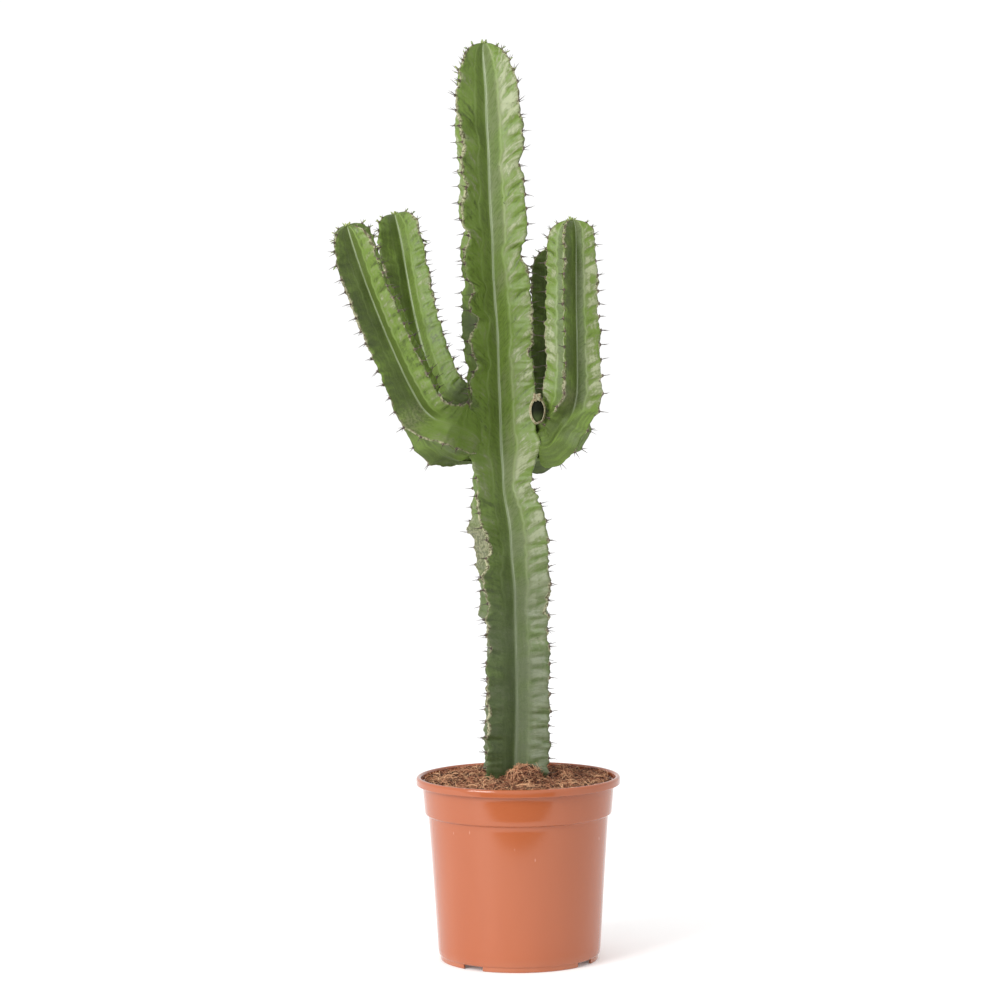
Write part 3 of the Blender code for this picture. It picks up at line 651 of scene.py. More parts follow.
def skin_material(name, plant, aged):
    """Green skin read across each flank: valley line, painted shade in the groove, fold with a
    painted highlight, wing and corky edge. Each flank's tone is partly its bloom and partly painted
    light and shade.
    """
    skin = Shader(name, 0.46)
    value, band, cloud, mix = skin.value, skin.band, skin.cloud, skin.mix
    times, plus, join, relief_of = skin.times, skin.plus, skin.join, skin.relief
    across = value("across")
    along = value("along")
    rise = value("rise")
    bloom_and_lighting = value("bloom_and_lighting")
    wear = value("wear")
    flank = value("flank")
    where = skin.place()
    wide = times(across, 0.03)
    creases = cloud(join(rise, wide, flank), 170.0, 3.5, 0.58, (1.0, 0.34, 1.0))
    hatch = cloud(join(rise, wide, flank), 620.0, 3.0, 0.6, (1.0, 0.35, 1.0))
    plain = band(value("smooth"), 0.1, 0.9, 1.0, 0.0)
    veins = cloud(join(along, wide, flank), 300.0, 3.0, 0.6, (0.10, 1.0, 1.0))
    broad = cloud(join(rise, wide, flank), 36.0, 3.0, 0.5, (1.0, 0.7, 1.0))
    grain = cloud(where, 1100.0, 3.0, 0.6)
    fine = cloud(where, 380.0, 4.0, 0.6)

    wing = times(band(across, 0.36, 0.55), band(bloom_and_lighting, 0.3, 1.1, 0.35, 1.0))
    wing = times(wing, band(plain, 0.0, 1.0, 0.35, 1.0))
    # Each flank's given tone paints in light and shade: pale where it faces the light, dark where
    # it is turned away
    tone = plus(bloom_and_lighting, band(broad, 0.32, 0.68, -0.46, 0.42))
    tone = plus(tone, times(band(creases, 0.36, 0.64, -0.44, 0.52), wing))
    # Painted highlight on the pillow bulges between areoles, painted shade between them
    pillow_highlight_and_shade = times(band(value("pillow"), 0.15, 0.90, -0.44, 0.32), wing)
    tone = plus(tone, times(pillow_highlight_and_shade, band(bloom_and_lighting, 0.8, 1.5, 0.45, 1.0)))
    tone = plus(tone, times(band(hatch, 0.36, 0.64, -0.17, 0.20), wing))
    tone = plus(tone, band(veins, 0.35, 0.68, -0.16, 0.30))
    # Painted shade: a still darker green for the flanks turned furthest from the light
    shaded_deep = tuple(0.60 * part for part in plant.deep)
    colour = mix(band(tone, -0.7, 0.15), shaded_deep, plant.deep)
    colour = mix(band(tone, 0.0, 1.0), colour, plant.green)
    colour = mix(band(tone, 0.95, 2.1), colour, plant.bloom_and_lighting)
    # Painted highlight: a whitish sheen on the palest wings
    sheen_highlight = times(band(tone, 1.6, 2.5, 0.0, 0.62), wing)
    colour = mix(sheen_highlight, colour, SHEEN_HIGHLIGHT)

    # Painted shade in each groove, as deep as the flank's groove shade value, greyed on the pale
    # flanks
    groove = times(band(across, 0.38, 0.30), plain)
    shadow = times(groove, value("hollow_shade"))
    colour = mix(shadow, colour, plant.deep)
    grey = times(groove, band(bloom_and_lighting, 1.2, 1.8, 0.0, 0.62))
    colour = mix(grey, colour, GROOVE_SHADE_GREY)
    streak = times(band(hatch, 0.46, 0.62), times(groove, 0.62))
    colour = mix(streak, colour, plant.deep)
    # Painted highlight along each flank's fold
    ridge = band(skin.math("ABSOLUTE", skin.math("SUBTRACT", across, 0.40)), 0.05, 0.0)
    fold = times(ridge, band(bloom_and_lighting, 0.3, 1.8, 0.12, 0.62))
    fold = times(fold, band(veins, 0.30, 0.60, 0.45, 1.1))
    colour = mix(times(fold, plain), colour, FOLD_HIGHLIGHT)
    line = times(band(across, 0.055, 0.020), band(veins, 0.35, 0.60, 0.35, 0.85))
    colour = mix(times(line, plain), colour, VALLEY_LINE)
    # Painted shade along the bottom of each valley
    crease_shade = times(times(band(across, 0.014, 0.0), plain), 0.55)
    colour = mix(crease_shade, colour, plant.deep)

    if aged:
        low = times(band(along, 0.40, 0.13), band(broad, 0.25, 0.6, 0.72, 1.0))
        worn = mix(band(tone, 0.3, 2.0), plant.old, OLD_PALE)
        colour = mix(times(low, 0.86), colour, worn)
        dust = times(band(fine, 0.62, 0.74), times(low, 0.30))
        colour = mix(dust, colour, SKIN_DUST)

    flecks = times(band(fine, 0.60, 0.68), band(creases, 0.45, 0.60, 0.0, 0.65))
    colour = mix(flecks, colour, SKIN_FLECK)
    colour = mix(band(grain, 0.35, 0.65, 0.0, 0.12), colour, SKIN_GRAIN)

    mottle = mix(band(fine, 0.42, 0.58), SCAR_PALE, SCAR_DARK)
    healed = times(value("scar"), band(broad, 0.2, 0.5, 0.4, 0.85))
    colour = mix(healed, colour, mottle)
    rough_edge = plus(across, band(fine, 0.3, 0.7, -0.030, 0.022))
    scab = band(rough_edge, band(wear, 0.0, 1.0, 1.004, 0.90), band(wear, 0.0, 1.0, 1.02, 0.965))
    bark = mix(band(fine, 0.44, 0.60), plant.cork, CORK_DARK)
    colour = mix(times(scab, 0.90), colour, bark)

    rough = plus(band(scab, 0.0, 1.0, 0.43, 0.85), band(creases, 0.3, 0.7, -0.05, 0.08))
    rough = plus(rough, band(value("smooth"), 0.0, 1.0, 0.0, 0.14))
    relief = relief_of(grain, 0.00012, 0.4)
    relief = relief_of(fine, 0.00040, 0.4, relief)
    relief = relief_of(times(creases, wing), 0.0011, 0.6, relief)
    relief = relief_of(times(scab, fine), 0.0014, 0.7, relief)
    return skin.finish(
        Base_Color=colour, Roughness=rough, Normal=relief, Specular_IOR_Level=0.30,
        Subsurface_Weight=0.05, Subsurface_Radius=(0.5, 0.8, 0.2), Subsurface_Scale=0.003)


def spine_material(plant):
    """Dark horny spines, paler at the shield and grey with age."""
    horn = Shader("spine_horn", 0.5)
    shade = horn.value("shade")
    speck = horn.cloud(horn.place(), 1500.0, 2.0)
    colour = horn.mix(shade, plant.spine, SHIELD_HORN)
    colour = horn.mix(horn.band(speck, 0.45, 0.7, 0.0, 0.35), colour, HORN_SPECK)
    return horn.finish(Base_Color=colour, Normal=horn.relief(speck, 0.0002, 0.5))


def leaf_material():
    leaf = Shader("tip_leaf", 0.5)
    vein = leaf.cloud(leaf.place(), 700.0, 2.0)
    colour = leaf.mix(leaf.value("shade"), LEAF_GREEN, LEAF_PALE)
    colour = leaf.mix(leaf.band(vein, 0.4, 0.7, 0.0, 0.4), colour, LEAF_VEIN)
    return leaf.finish(Base_Color=colour, Normal=leaf.relief(vein, 0.0003, 0.5))


def callus_material():
    callus = Shader("callus_skin", 0.7)
    rough = callus.cloud(callus.place(), 420.0, 5.0, 0.65)
    colour = callus.mix(callus.band(rough, 0.35, 0.65), CALLUS_BROWN, CALLUS_PALE)
    # Painted shadow: the disc inside the ring runs from green low down to near black at the top, as
    # a shaded hollow would look
    height = callus.node("ShaderNodeSeparateXYZ")
    callus.put(callus.place(), height.inputs[0])
    depth = callus.band(height.outputs["Z"], CALLUS_HEIGHT - 0.012, CALLUS_HEIGHT + 0.002)
    hollow_shade = callus.mix(depth, HOLLOW_LOW, HOLLOW_TOP_SHADOW)
    colour = callus.mix(callus.value("shade"), colour, hollow_shade)
    return callus.finish(Base_Color=colour, Normal=callus.relief(rough, 0.0010, 0.8),
                         Specular_IOR_Level=0.15)


def pot_material(pot):
    """Moulded terracotta-brown plastic with faint cloudiness, small scuffs and dust by the foot."""
    clay = Shader("pot_plastic_skin", 0.2)
    where = clay.place()
    height = clay.node("ShaderNodeSeparateXYZ")
    clay.put(where, height.inputs[0])
    cloudy = clay.cloud(where, 14.0, 3.0, 0.5, (1.0, 1.0, 0.35))
    grain = clay.cloud(where, 1600.0, 2.0, 0.5)
    ripple = clay.cloud(where, 24.0, 2.0, 0.5, (1.0, 1.0, 0.30))
    scuff = clay.cloud(where, 240.0, 1.0, 0.5, (1.0, 1.0, 0.30))
    colour = clay.mix(clay.band(cloudy, 0.35, 0.65, 0.0, 0.40), pot.plastic, POT_CLOUD)
    marks = clay.band(scuff, 0.775, 0.815, 0.0, 0.5)
    colour = clay.mix(marks, colour, POT_SCUFF)
    dust = clay.times(clay.band(height.outputs["Z"], 0.016, 0.002),
                     clay.band(cloudy, 0.3, 0.7, 0.05, 0.30))
    colour = clay.mix(dust, colour, POT_DUST)
    rough = clay.plus(clay.band(cloudy, 0.3, 0.7, 0.075, 0.115), clay.times(marks, 0.3))
    relief = clay.relief(grain, 0.00003, 0.35)
    relief = clay.relief(ripple, 0.0012, 0.10, relief)
    return clay.finish(Base_Color=colour, Roughness=rough, Normal=relief,
                       Specular_IOR_Level=0.55)


def soil_material(coir):
    soil = Shader("coir_soil", 0.95)
    where = soil.place()
    lumps = soil.cloud(where, 160.0, 5.0, 0.65)
    dust = soil.cloud(where, 700.0, 4.0, 0.6)
    colour = soil.mix(soil.band(lumps, 0.35, 0.65), coir.pith, SOIL_BROWN)
    colour = soil.mix(soil.band(dust, 0.50, 0.72, 0.0, 0.6), colour, SOIL_DUST)
    relief = soil.relief(dust, 0.0008, 0.8)
    relief = soil.relief(lumps, 0.002, 0.8, relief)
    return soil.finish(Base_Color=colour, Normal=relief, Specular_IOR_Level=0.2)


def strand_material(coir):
    """Coir fibre from dark pith brown to pale straw, one shade a strand."""
    fibre = Shader("coir_strand", 0.75)
    shade = fibre.value("shade")
    speck = fibre.cloud(fibre.place(), 800.0, 3.0)
    colour = fibre.mix(fibre.band(shade, 0.05, 0.60), FIBRE_DARK, FIBRE_BROWN)
    colour = fibre.mix(fibre.band(shade, 0.50, 1.0), colour, coir.straw)
    colour = fibre.mix(fibre.band(speck, 0.50, 0.75, 0.0, 0.35), colour, FIBRE_SPECK)
    return fibre.finish(Base_Color=colour, Normal=fibre.relief(speck, 0.0003, 0.6),
                        Specular_IOR_Level=0.3)


def chip_material():
    husk = Shader("husk_chip", 0.7)
    grain = husk.cloud(husk.place(), 260.0, 4.0, 0.6, (0.25, 1.0, 1.0))
    colour = husk.mix(husk.band(grain, 0.35, 0.65), HUSK_BROWN, HUSK_PALE)
    return husk.finish(Base_Color=colour, Normal=husk.relief(grain, 0.0010, 0.7))


def floor_material():
    floor = Shader("pale_floor", 0.6)
    tone = floor.cloud(floor.place(), 3.0, 2.0)
    colour = floor.mix(floor.band(tone, 0.3, 0.7), FLOOR_DULL, FLOOR_WHITE)
    return floor.finish(Base_Color=colour, Specular_IOR_Level=0.2,
                        Emission_Color=(1.0, 1.0, 1.0), Emission_Strength=0.09)


# ---------------------------------------------------------------- stems and arms

def carried_frames(path):
    """A side and a front direction at each path point, carried down from the tip."""
    tangents = np.gradient(path, axis=0)
    tangents /= np.linalg.norm(tangents, axis=1)[:, None]
    sides = np.zeros_like(path)
    side = np.array((1.0, 0.0, 0.0))
    for i in range(len(path) - 1, -1, -1):
        side = unit(side - tangents[i] * side.dot(tangents[i]))
        sides[i] = side
    return tangents, sides, np.cross(sides, tangents)


def directions(azimuths):
    """(side, front) pairs in a stem's section for azimuths in degrees."""
    angles = np.radians(azimuths)
    return np.stack((np.sin(angles), np.cos(angles)), axis=-1)


def stem_path():
    heights = np.linspace(-STEM_BURIED, STEM_HEIGHT, STEM_PATH_POINTS)
    share = np.maximum(heights / STEM_HEIGHT, 0.0)
    x = read_curve([(s, x) for s, x, y in STEM_LEAN], share)
    y = read_curve([(s, y) for s, x, y in STEM_LEAN], share)
    return np.stack((x, y, SOIL_LEVEL + heights), axis=1), STEM_HEIGHT + STEM_BURIED


def arm_path(spec):
    stem, _ = stem_path()
    height = SOIL_LEVEL + ARM_HEIGHT
    x, y = (np.interp(height, stem[:, 2], stem[:, k]) for k in range(2))
    foot = Vector((x, y, height))
    away = outward(spec["azimuth"])
    start = STEM_RIB_LENGTH * ARM_ROOT_SHARE
    points = []
    for out, up in ((ARM_BEND_START, ARM_ROOT_RISE),) + spec["bend"]:
        share = (out - ARM_BEND_START) / (1.0 - ARM_BEND_START)
        distance = start + (spec["reach"] - start) * share
        raised = spec["lift"] * max(0.0, 1.0 - 2.0 * share)
        points.append(foot + away * distance + Vector((0.0, 0.0, spec["rise"] * up + raised)))
    return smooth_path(points, ARM_PATH_STEPS)


def areole_places(length, gap, first, tip_length, rng):
    """Distances along a rib where areoles sit: even, then crowding towards the tip."""
    places = []
    at = first
    while at < length - 0.0015:
        places.append(at)
        left = length - at
        crowd = min(1.0, 0.14 + 0.86 * left / (tip_length * 1.3))
        at += gap * crowd * rng.uniform(0.90, 1.10)
    return np.array(places)


def ring_places(length, gap, tip_length):
    """Distances of the rings along a stem: even, then closer together round the tip."""
    body = np.arange(0.0, length - tip_length, gap)
    steps = int(tip_length / gap * 1.4)
    angles = np.radians(90.0 * np.arange(steps) / steps)
    return np.concatenate((body, length - tip_length * (1.0 - np.sin(angles))))


def grow(name, shoot, plant, material, wave):
    """Loft one ribbed shoot and return its object with the places of its areoles."""
    path, length = shoot["path"], shoot["length"]
    places = ring_places(length, plant.ring_gap, shoot["tip_length"])
    rings = len(places)
    tangents, sides, fronts = carried_frames(path)
    at = places / length * (len(path) - 1)
    order = np.arange(len(path))

    def per_flank(values):
        return np.repeat(np.array(values), FLANK_POINTS)[None, :]

    def along_path(values):
        return np.stack([np.interp(at, order, values[:, k]) for k in range(3)], axis=1)

    centre, side, front = along_path(path), along_path(sides), along_path(fronts)
    left = np.clip((length - places) / shoot["tip_length"], 0.0, 1.0)
    shrink = np.maximum(0.0, 1.0 - (1.0 - left) ** 2.5) ** 0.43

    ribs = np.array(shoot["ribs"])[None, :] + shoot["turn"](places)[:, None]
    valleys = np.array(shoot["valleys"])[None, :] + shoot["turn"](places)[:, None]
    lengths = shoot["rib_lengths"](places)
    smooth = shoot["smooth"](places)
    rng = np.random.default_rng(int(shoot["seed"] * 10))
    for i, spots in enumerate(shoot["areoles"]):
        bold = rng.uniform(0.55, 1.35, len(spots))
        teeth = np.exp(-((places[:, None] - spots[None, :]) / TOOTH_REACH) ** 2) * bold[None, :]
        lengths[:, i] += plant.tooth * (teeth.max(axis=1) - 0.35)
        ragged = sum(depth * patches(places / size, step * i + shoot["seed"], key)
                     for depth, size, step, key in RAGGED_EDGE)
        lengths[:, i] += ragged * shoot["ragged"](places)
    lengths *= shrink[:, None]
    valley = (shoot["valley"](places) * shrink)[:, None]
    shoulder = (shoot["shoulder"](places) * shrink)[:, None, None]
    edge = (shoot["edge"](places) * shrink)[:, None]
    sway = np.stack([
        wave[i] * (patches(places / 0.021, 3.1 * i + shoot["seed"], 11)
                   + 0.75 * patches(places / 0.0078, 1.7 * i, 12)
                   + 0.30 * patches(places / 0.0028, 4.1 * i, 15)) for i in range(4)], axis=1)
    sway[:, 0] += shoot["lean_over"](places)
    sway = (sway * shrink[:, None])[:, :, None]

    folds = np.array(shoot["folds"])
    axis = directions(ribs)
    cross = directions(ribs + 90.0)
    reach = (lengths * 0.50 + valley * 0.10)[:, :, None]
    out = lengths[:, :, None]
    rim = edge[:, :, None]
    after = directions(valleys) * valley[:, :, None]
    before = np.roll(after, 1, axis=1)
    controls = (
        before,
        axis * reach - cross * shoulder * folds[None, 0::2, None],
        axis * (out - rim) - cross * rim + cross * sway,
        axis * out + cross * sway,
        axis * (out - rim) + cross * rim + cross * sway,
        axis * reach + cross * shoulder * folds[None, 1::2, None],
        after,
    )
    outline = np.zeros((rings, 4, RIB_POINTS, 2))
    across = np.zeros(RIB_POINTS)
    column = 0
    for start, end, count, low, high in RIB_RUNS:
        for k in range(count):
            share = k / count
            outline[:, :, column] = controls[start] * (1.0 - share) + controls[end] * share
            across[column] = low + (high - low) * share
            column += 1
    columns = 4 * RIB_POINTS
    outline = outline.reshape(rings, columns, 2)
    across = np.tile(across, 4)
    for _ in range(2):
        outline = (np.roll(outline, 1, axis=1) + 2.0 * outline + np.roll(outline, -1, axis=1)) / 4.0
    for turned_by, scale in ((90.0, shoot["thickness"](places)), (0.0, shoot["height"](places))):
        over = directions(np.array([shoot["azimuth"] + turned_by]))[0]
        part = (outline @ over)[:, :, None] * over[None, None, :]
        outline = outline + part * (scale[:, None, None] - 1.0)

    tangent = np.roll(outline, -1, axis=1) - np.roll(outline, 1, axis=1)
    normal = np.stack((-tangent[:, :, 1], tangent[:, :, 0]), axis=2)
    normal /= np.linalg.norm(normal, axis=2)[:, :, None] + 1e-9
    flank = np.repeat(np.arange(8), FLANK_POINTS)
    rows = places[:, None]
    wing = np.clip((across - 0.30) / 0.5, 0.0, 1.0)[None, :]
    rise = rows + shoot["rise"](places)[:, None] * (1.0 - across[None, :]) ** 1.3
    texture = per_flank(shoot["texture"])
    around = flank[None, :] * 7.3 + across[None, :] * 1.2
    pillow = np.zeros((rings, columns))
    for i, spots in enumerate(shoot["areoles"]):
        block = slice(i * RIB_POINTS, (i + 1) * RIB_POINTS)
        step = np.interp(rise[:, block], spots, np.arange(len(spots)))
        pillow[:, block] = np.sin(np.pi * (step - np.floor(step))) ** 0.8
    wrinkle = patches(rise / 0.0030, around, 21) * 0.6 + patches(rise / 0.0075, around, 22)
    strength = shoot["wrinkle"](places)[:, None] * (
        0.75 + 0.45 * patches(rows / 0.05, around * 0.5, 23))
    swell = patches(rows / 0.024, around, 24) * SWELL_HEIGHT
    uneven = 0.8 + 0.9 * patches(rise / 0.019, around, 25)
    puff = (pillow - 0.6) * PUFF_HEIGHT * uneven * wing * wing
    lift = ((wrinkle * strength * wing + puff) * texture
            + swell * np.clip(across * 3.0, 0, 1)[None, :])
    lift *= shrink[:, None]
    outline = outline + normal * lift[:, :, None]

    points = (centre[:, None, :] + side[:, None, :] * outline[:, :, :1]
              + front[:, None, :] * outline[:, :, 1:])
    grid = np.arange(rings * columns).reshape(rings, columns)
    right = np.roll(grid, -1, axis=1)
    quads = np.stack((grid[:-1], right[:-1], right[1:], grid[1:]), axis=2).reshape(-1, 4)
    bottom = rings * columns
    faces = quads.tolist()
    for k in range(columns):
        j = (k + 1) % columns
        faces.append((bottom, int(grid[0, j]), int(grid[0, k])))
        faces.append((bottom + 1, int(grid[-1, k]), int(grid[-1, j])))
    corners = points.reshape(-1, 3).tolist() + [centre[0].tolist(), path[-1].tolist()]
    made = new_mesh_object(name, corners, faces, material)

    wear = np.zeros((rings, columns))
    for i, spots in enumerate(shoot["areoles"]):
        nearest = np.min(np.abs(places[:, None] - spots[None, :]), axis=1)
        amount = (shoot["cork"](i, places) - 0.12 + 0.55 * np.exp(-(nearest / CORK_REACH) ** 2)
                  + 0.35 * patches(places / 0.006, 5.0 * i + shoot["seed"], 31)
                  + 0.55 * patches(places / 0.026, 6.0 * i + shoot["seed"], 32))
        wear[:, i * RIB_POINTS:(i + 1) * RIB_POINTS] = amount[:, None]
    # Flank tones that paint in light and shade, eased into the root tones and shifted where the
    # shoot asks
    bloom_and_lighting = per_flank(shoot["bloom_and_lighting"])
    root = per_flank(shoot["root_tone_and_shade"])
    bloom_and_lighting = bloom_and_lighting * (1.0 - smooth[:, None]) + root * smooth[:, None]
    bloom_and_lighting = bloom_and_lighting + shoot["shade_and_root_lightening"](rows, flank[None, :])
    whole = np.ones((rings, columns))
    for key, values in (
            ("across", whole * across[None, :]), ("along", whole * rows), ("rise", rise),
            ("pillow", pillow), ("smooth", whole * smooth[:, None]),
            ("scar", shoot["scar"](rows, flank[None, :] * whole)), ("bloom_and_lighting", bloom_and_lighting),
            ("flank", whole * flank[None, :] * 0.37),
            ("hollow_shade", whole * per_flank(shoot["hollow_shade"])), ("wear", np.clip(wear, 0.0, 1.0))):
        flat = values.reshape(-1)
        add_values(made, key, np.concatenate((flat, [flat[0], flat[-1]])))

    areoles = []
    tangent_at = along_path(tangents)
    for i, spots in enumerate(shoot["areoles"]):
        crest = points[:, i * RIB_POINTS + CREST_POINT]
        for spot in spots:
            ring = min(int(np.searchsorted(places, spot)), rings - 1)
            outwards = side[ring] * axis[ring, i, 0] + front[ring] * axis[ring, i, 1]
            beside = side[ring] * cross[ring, i, 0] + front[ring] * cross[ring, i, 1]
            squeeze = 1.0 - left[ring]
            heading = (outwards * math.cos(squeeze * 1.2)
                       + tangent_at[ring] * math.sin(squeeze * 1.2))
            areoles.append(dict(
                at=crest[ring], out=heading, beside=beside, up=np.cross(beside, heading),
                share=spot / length, left=length - spot))
    return made, areoles


def even(value):
    """The same value at every place along a shoot."""
    return lambda places: np.full(len(places), value)


def stem_shoot(plant):
    path, length = stem_path()
    rng = np.random.default_rng(STEM_SEED)

    def rib_lengths(places):
        heights = places - STEM_BURIED
        base = STEM_RIB_LENGTH * read_curve(STEM_WIDTHS, heights / STEM_HEIGHT)
        out = np.repeat(base[:, None], 4, axis=1)
        for i, bites in enumerate(STEM_BITES):
            for at, depth, reach in bites:
                out[:, i] -= depth * np.exp(-((heights - at) / reach) ** 2)
        return out

    def cork(i, places):
        heights = places - STEM_BURIED
        joint = (heights > STEM_JOINTS[i][0]) & (heights < STEM_JOINTS[i][1])
        scar = 0.9 * np.exp(-((heights - 0.236) / 0.026) ** 2) if i in (0, 3) else 0.0
        return STEM_CORK[i] + scar + 0.10 * (heights < 0.30) - 2.0 * joint

    areoles = [areole_places(length, plant.areole_gap, STEM_BURIED + first,
                             STEM_TIP_LENGTH * 0.5, rng)
               for first in STEM_FIRST_AREOLES]
    areoles = [spots[(spots < STEM_BURIED + low) | (spots > STEM_BURIED + high)]
               for spots, (low, high) in zip(areoles, STEM_JOINTS)]
    return dict(
        path=path, length=length, ribs=STEM_RIBS, valleys=STEM_VALLEYS, areoles=areoles,
        tip_length=STEM_TIP_LENGTH, azimuth=0.0, seed=0.5, cork=cork, rib_lengths=rib_lengths,
        turn=even(0.0), thickness=even(1.0), height=even(1.0), smooth=even(0.0),
        valley=even(STEM_VALLEY_RADIUS), shoulder=even(STEM_SHOULDER), edge=even(STEM_EDGE),
        lean_over=lambda places: read_curve(STEM_LEAN_OVER, places - STEM_BURIED),
        folds=STEM_FOLDS,
        rise=lambda places: 0.010 + 0.026 * np.clip((places - 0.15) / 0.3, 0.0, 1.0),
        texture=(0.8, 0.35, 1.0, 0.8, 0.8, 0.8, 0.8, 0.8), root_tone_and_shade=(1.0,) * 8,
        ragged=lambda places: 1.0 + read_curve(((0.30, 1.3), (0.42, 0.0)), places),
        # Painted light and shade above the arms: flank 7, the back left rib's left flank, darkened
        # as in shadow, flank 1 lighter and flank 2 darker
        shade_and_root_lightening=lambda rows, flank: (((flank == 1) * 0.22 - (flank == 2) * 0.40 - (flank == 7) * 1.5)
                                  * np.exp(-((rows - STEM_BURIED - 0.44) / 0.10) ** 2)),
        scar=lambda rows, flank: (flank == 7) * np.exp(
            -((rows - STEM_BURIED - 0.240) / 0.030) ** 4),
        wrinkle=lambda places: 0.00042 + 0.00022 * (places < 0.20) + 0.00015 * (places > 0.5),
        # Painted shade in each flank's groove
        hollow_shade=(0.19, 0.35, 0.12, 0.31, 0.31, 0.41, 0.31, 0.16),
        # Flank tones: partly the skin's bloom, partly painted light and shade by how each flank
        # faces the light
        bloom_and_lighting=(1.10, 0.82, 1.62, 0.90, 0.90, 0.70, 0.90, 1.20))


def arm_shoot(spec, plant, index):
    spec = {**ARM_DEFAULTS, **spec}
    path, length = arm_path(spec)
    rng = np.random.default_rng(ARM_SEED + index)
    ribs = spec["ribs"]
    valleys = [ribs[i] + (ribs[(i + 1) % 4] - ribs[i]) % 360.0 / 2.0 for i in range(4)]

    def neck(places, start, end):
        """One at the root, easing to zero between two shares of the arm's length."""
        return read_curve(((start, 1.0), (end, 0.0)), places / length)

    def rib_lengths(places):
        base = spec["rib"] * read_curve(ARM_WIDTHS, places / length)
        sunk = neck(places, 0.20, 0.34)[:, None] * np.array(spec["sunk"])[None, :]
        return base[:, None] * (1.0 - sunk)

    areoles = [areole_places(length, plant.arm_areole_gap, length * 0.17 + rng.uniform(0.0, 0.008),
                             ARM_TIP_LENGTH, rng) for _ in range(4)]
    return dict(
        path=path, length=length, ribs=ribs, valleys=valleys, tip_length=ARM_TIP_LENGTH,
        azimuth=spec["azimuth"], seed=10.5 + index * 3.0, areoles=areoles, rib_lengths=rib_lengths,
        cork=lambda i, places: 0.46 - spec["bare"][i] * neck(places, 0.22, 0.30),
        smooth=lambda places: neck(places, 0.25, 0.34), root_tone_and_shade=spec["root_tone_and_shade"],
        ragged=even(1.0), hollow_shade=spec["hollow_shade"],
        shade_and_root_lightening=lambda rows, flank: spec["lighter_root"] * (flank <= 1) * np.clip(
            1.0 - 1.35 * rows / length, 0.0, 1.0),
        scar=lambda rows, flank: 0.45 * (flank == 1) * np.exp(
            -((rows / length - 0.34) / 0.035) ** 2),
        texture=(0.8, 0.45, 1.0, 0.8, 0.8, 0.8, 0.8, 0.8),
        turn=lambda places: spec["turn"] * neck(places, 0.18, 0.36),
        thickness=lambda places: (1.0 - 0.42 * neck(places, 0.12, 0.26)
                                  - 0.42 * neck(places, 0.03, 0.13)),
        height=lambda places: (1.0 + 0.12 * neck(places, 0.18, 0.26)
                               - 0.60 * neck(places, 0.03, 0.13)),
        lean_over=even(0.0), rise=even(0.014), edge=even(ARM_EDGE), wrinkle=even(0.00040),
        folds=(0.9, 0.75, 1.0, 0.9, 0.9, 0.9, 0.9, 0.9),
        valley=lambda places: spec["rib"] * (ARM_VALLEY_SHARE + 0.44 * neck(places, 0.22, 0.34)),
        shoulder=lambda places: spec["rib"] * (
            ARM_SHOULDER_SHARE + 0.17 * neck(places, 0.22, 0.34)),
        bloom_and_lighting=spec["tone"])


def add_spines(builder, areoles, plant, rng, least_share):
    """A shield with a pair of spines on each areole."""
    for spot in areoles:
        if spot["share"] < least_share:
            continue
        young = min(1.0, 0.35 + spot["left"] / 0.045)
        size = plant.spine_length * rng.uniform(0.75, 1.15) * young
        out, beside, up = spot["out"], spot["beside"], spot["up"]
        axes = (beside, up, out)
        builder.body(spot["at"] - out * 0.0001, axes, (0.0012, 0.0019, 0.0009), 4, 8,
                     rng.uniform(0.2, 0.8))
        droop = rng.uniform(-0.30, 0.20)
        for hand in (-1.0, 1.0):
            spread = rng.uniform(0.25, 0.65) * hand
            heading = unit(out + beside * spread + up * (droop + rng.uniform(-0.12, 0.12)))
            curl = up * rng.uniform(-0.10, 0.12) + beside * (-hand * 0.06)
            reach = size * rng.uniform(0.85, 1.1)
            foot = spot["at"] + beside * (hand * 0.0004)
            path = [foot + heading * (reach * t) + curl * (reach * t * t)
                    for t in (0.0, 0.12, 0.5, 0.8, 1.0)]
            thick = plant.spine_radius * (0.8 + 0.2 * young)
            builder.tube(path, [thick * w for w in SPINE_TAPER], 5, rng.uniform(0.0, 0.25))


def add_leaves(builder, areoles, tip, plant, rng):
    """Small leaves beside the youngest areoles, and a tuft on the growing point."""
    for spot in areoles:
        if spot["left"] > 0.040:
            continue
        size = plant.leaf_length * rng.uniform(0.6, 1.1)
        tilt = unit(spot["up"] * rng.uniform(0.1, 0.8) + spot["out"] * 0.9
                    + spot["beside"] * rng.uniform(-0.4, 0.4))
        flat = unit(np.cross(tilt, spot["beside"]))
        builder.body(spot["at"] + tilt * size * 0.45, (np.cross(flat, tilt), flat, tilt),
                     (size * 0.26, 0.00035, size * 0.55), 6, 8, rng.uniform(0.0, 1.0))
    for k in range(TIP_LEAVES):
        turn = math.tau * k / TIP_LEAVES + rng.uniform(-0.2, 0.2)
        lean = rng.uniform(0.15, 0.7)
        tilt = unit(np.array((math.cos(turn) * lean, math.sin(turn) * lean, 1.0)))
        side = unit(np.cross(tilt, (0.0, 0.0, 1.0)))
        size = plant.leaf_length * rng.uniform(0.5, 0.95)
        foot = (tip + np.array((math.cos(turn), math.sin(turn), 0.0)) * 0.0025
                - np.array((0.0, 0.0, 0.001)))
        builder.body(foot + tilt * size * 0.4, (side, np.cross(side, tilt), tilt),
                     (size * 0.25, 0.0004, size * 0.5), 6, 8, rng.uniform(0.2, 1.0))


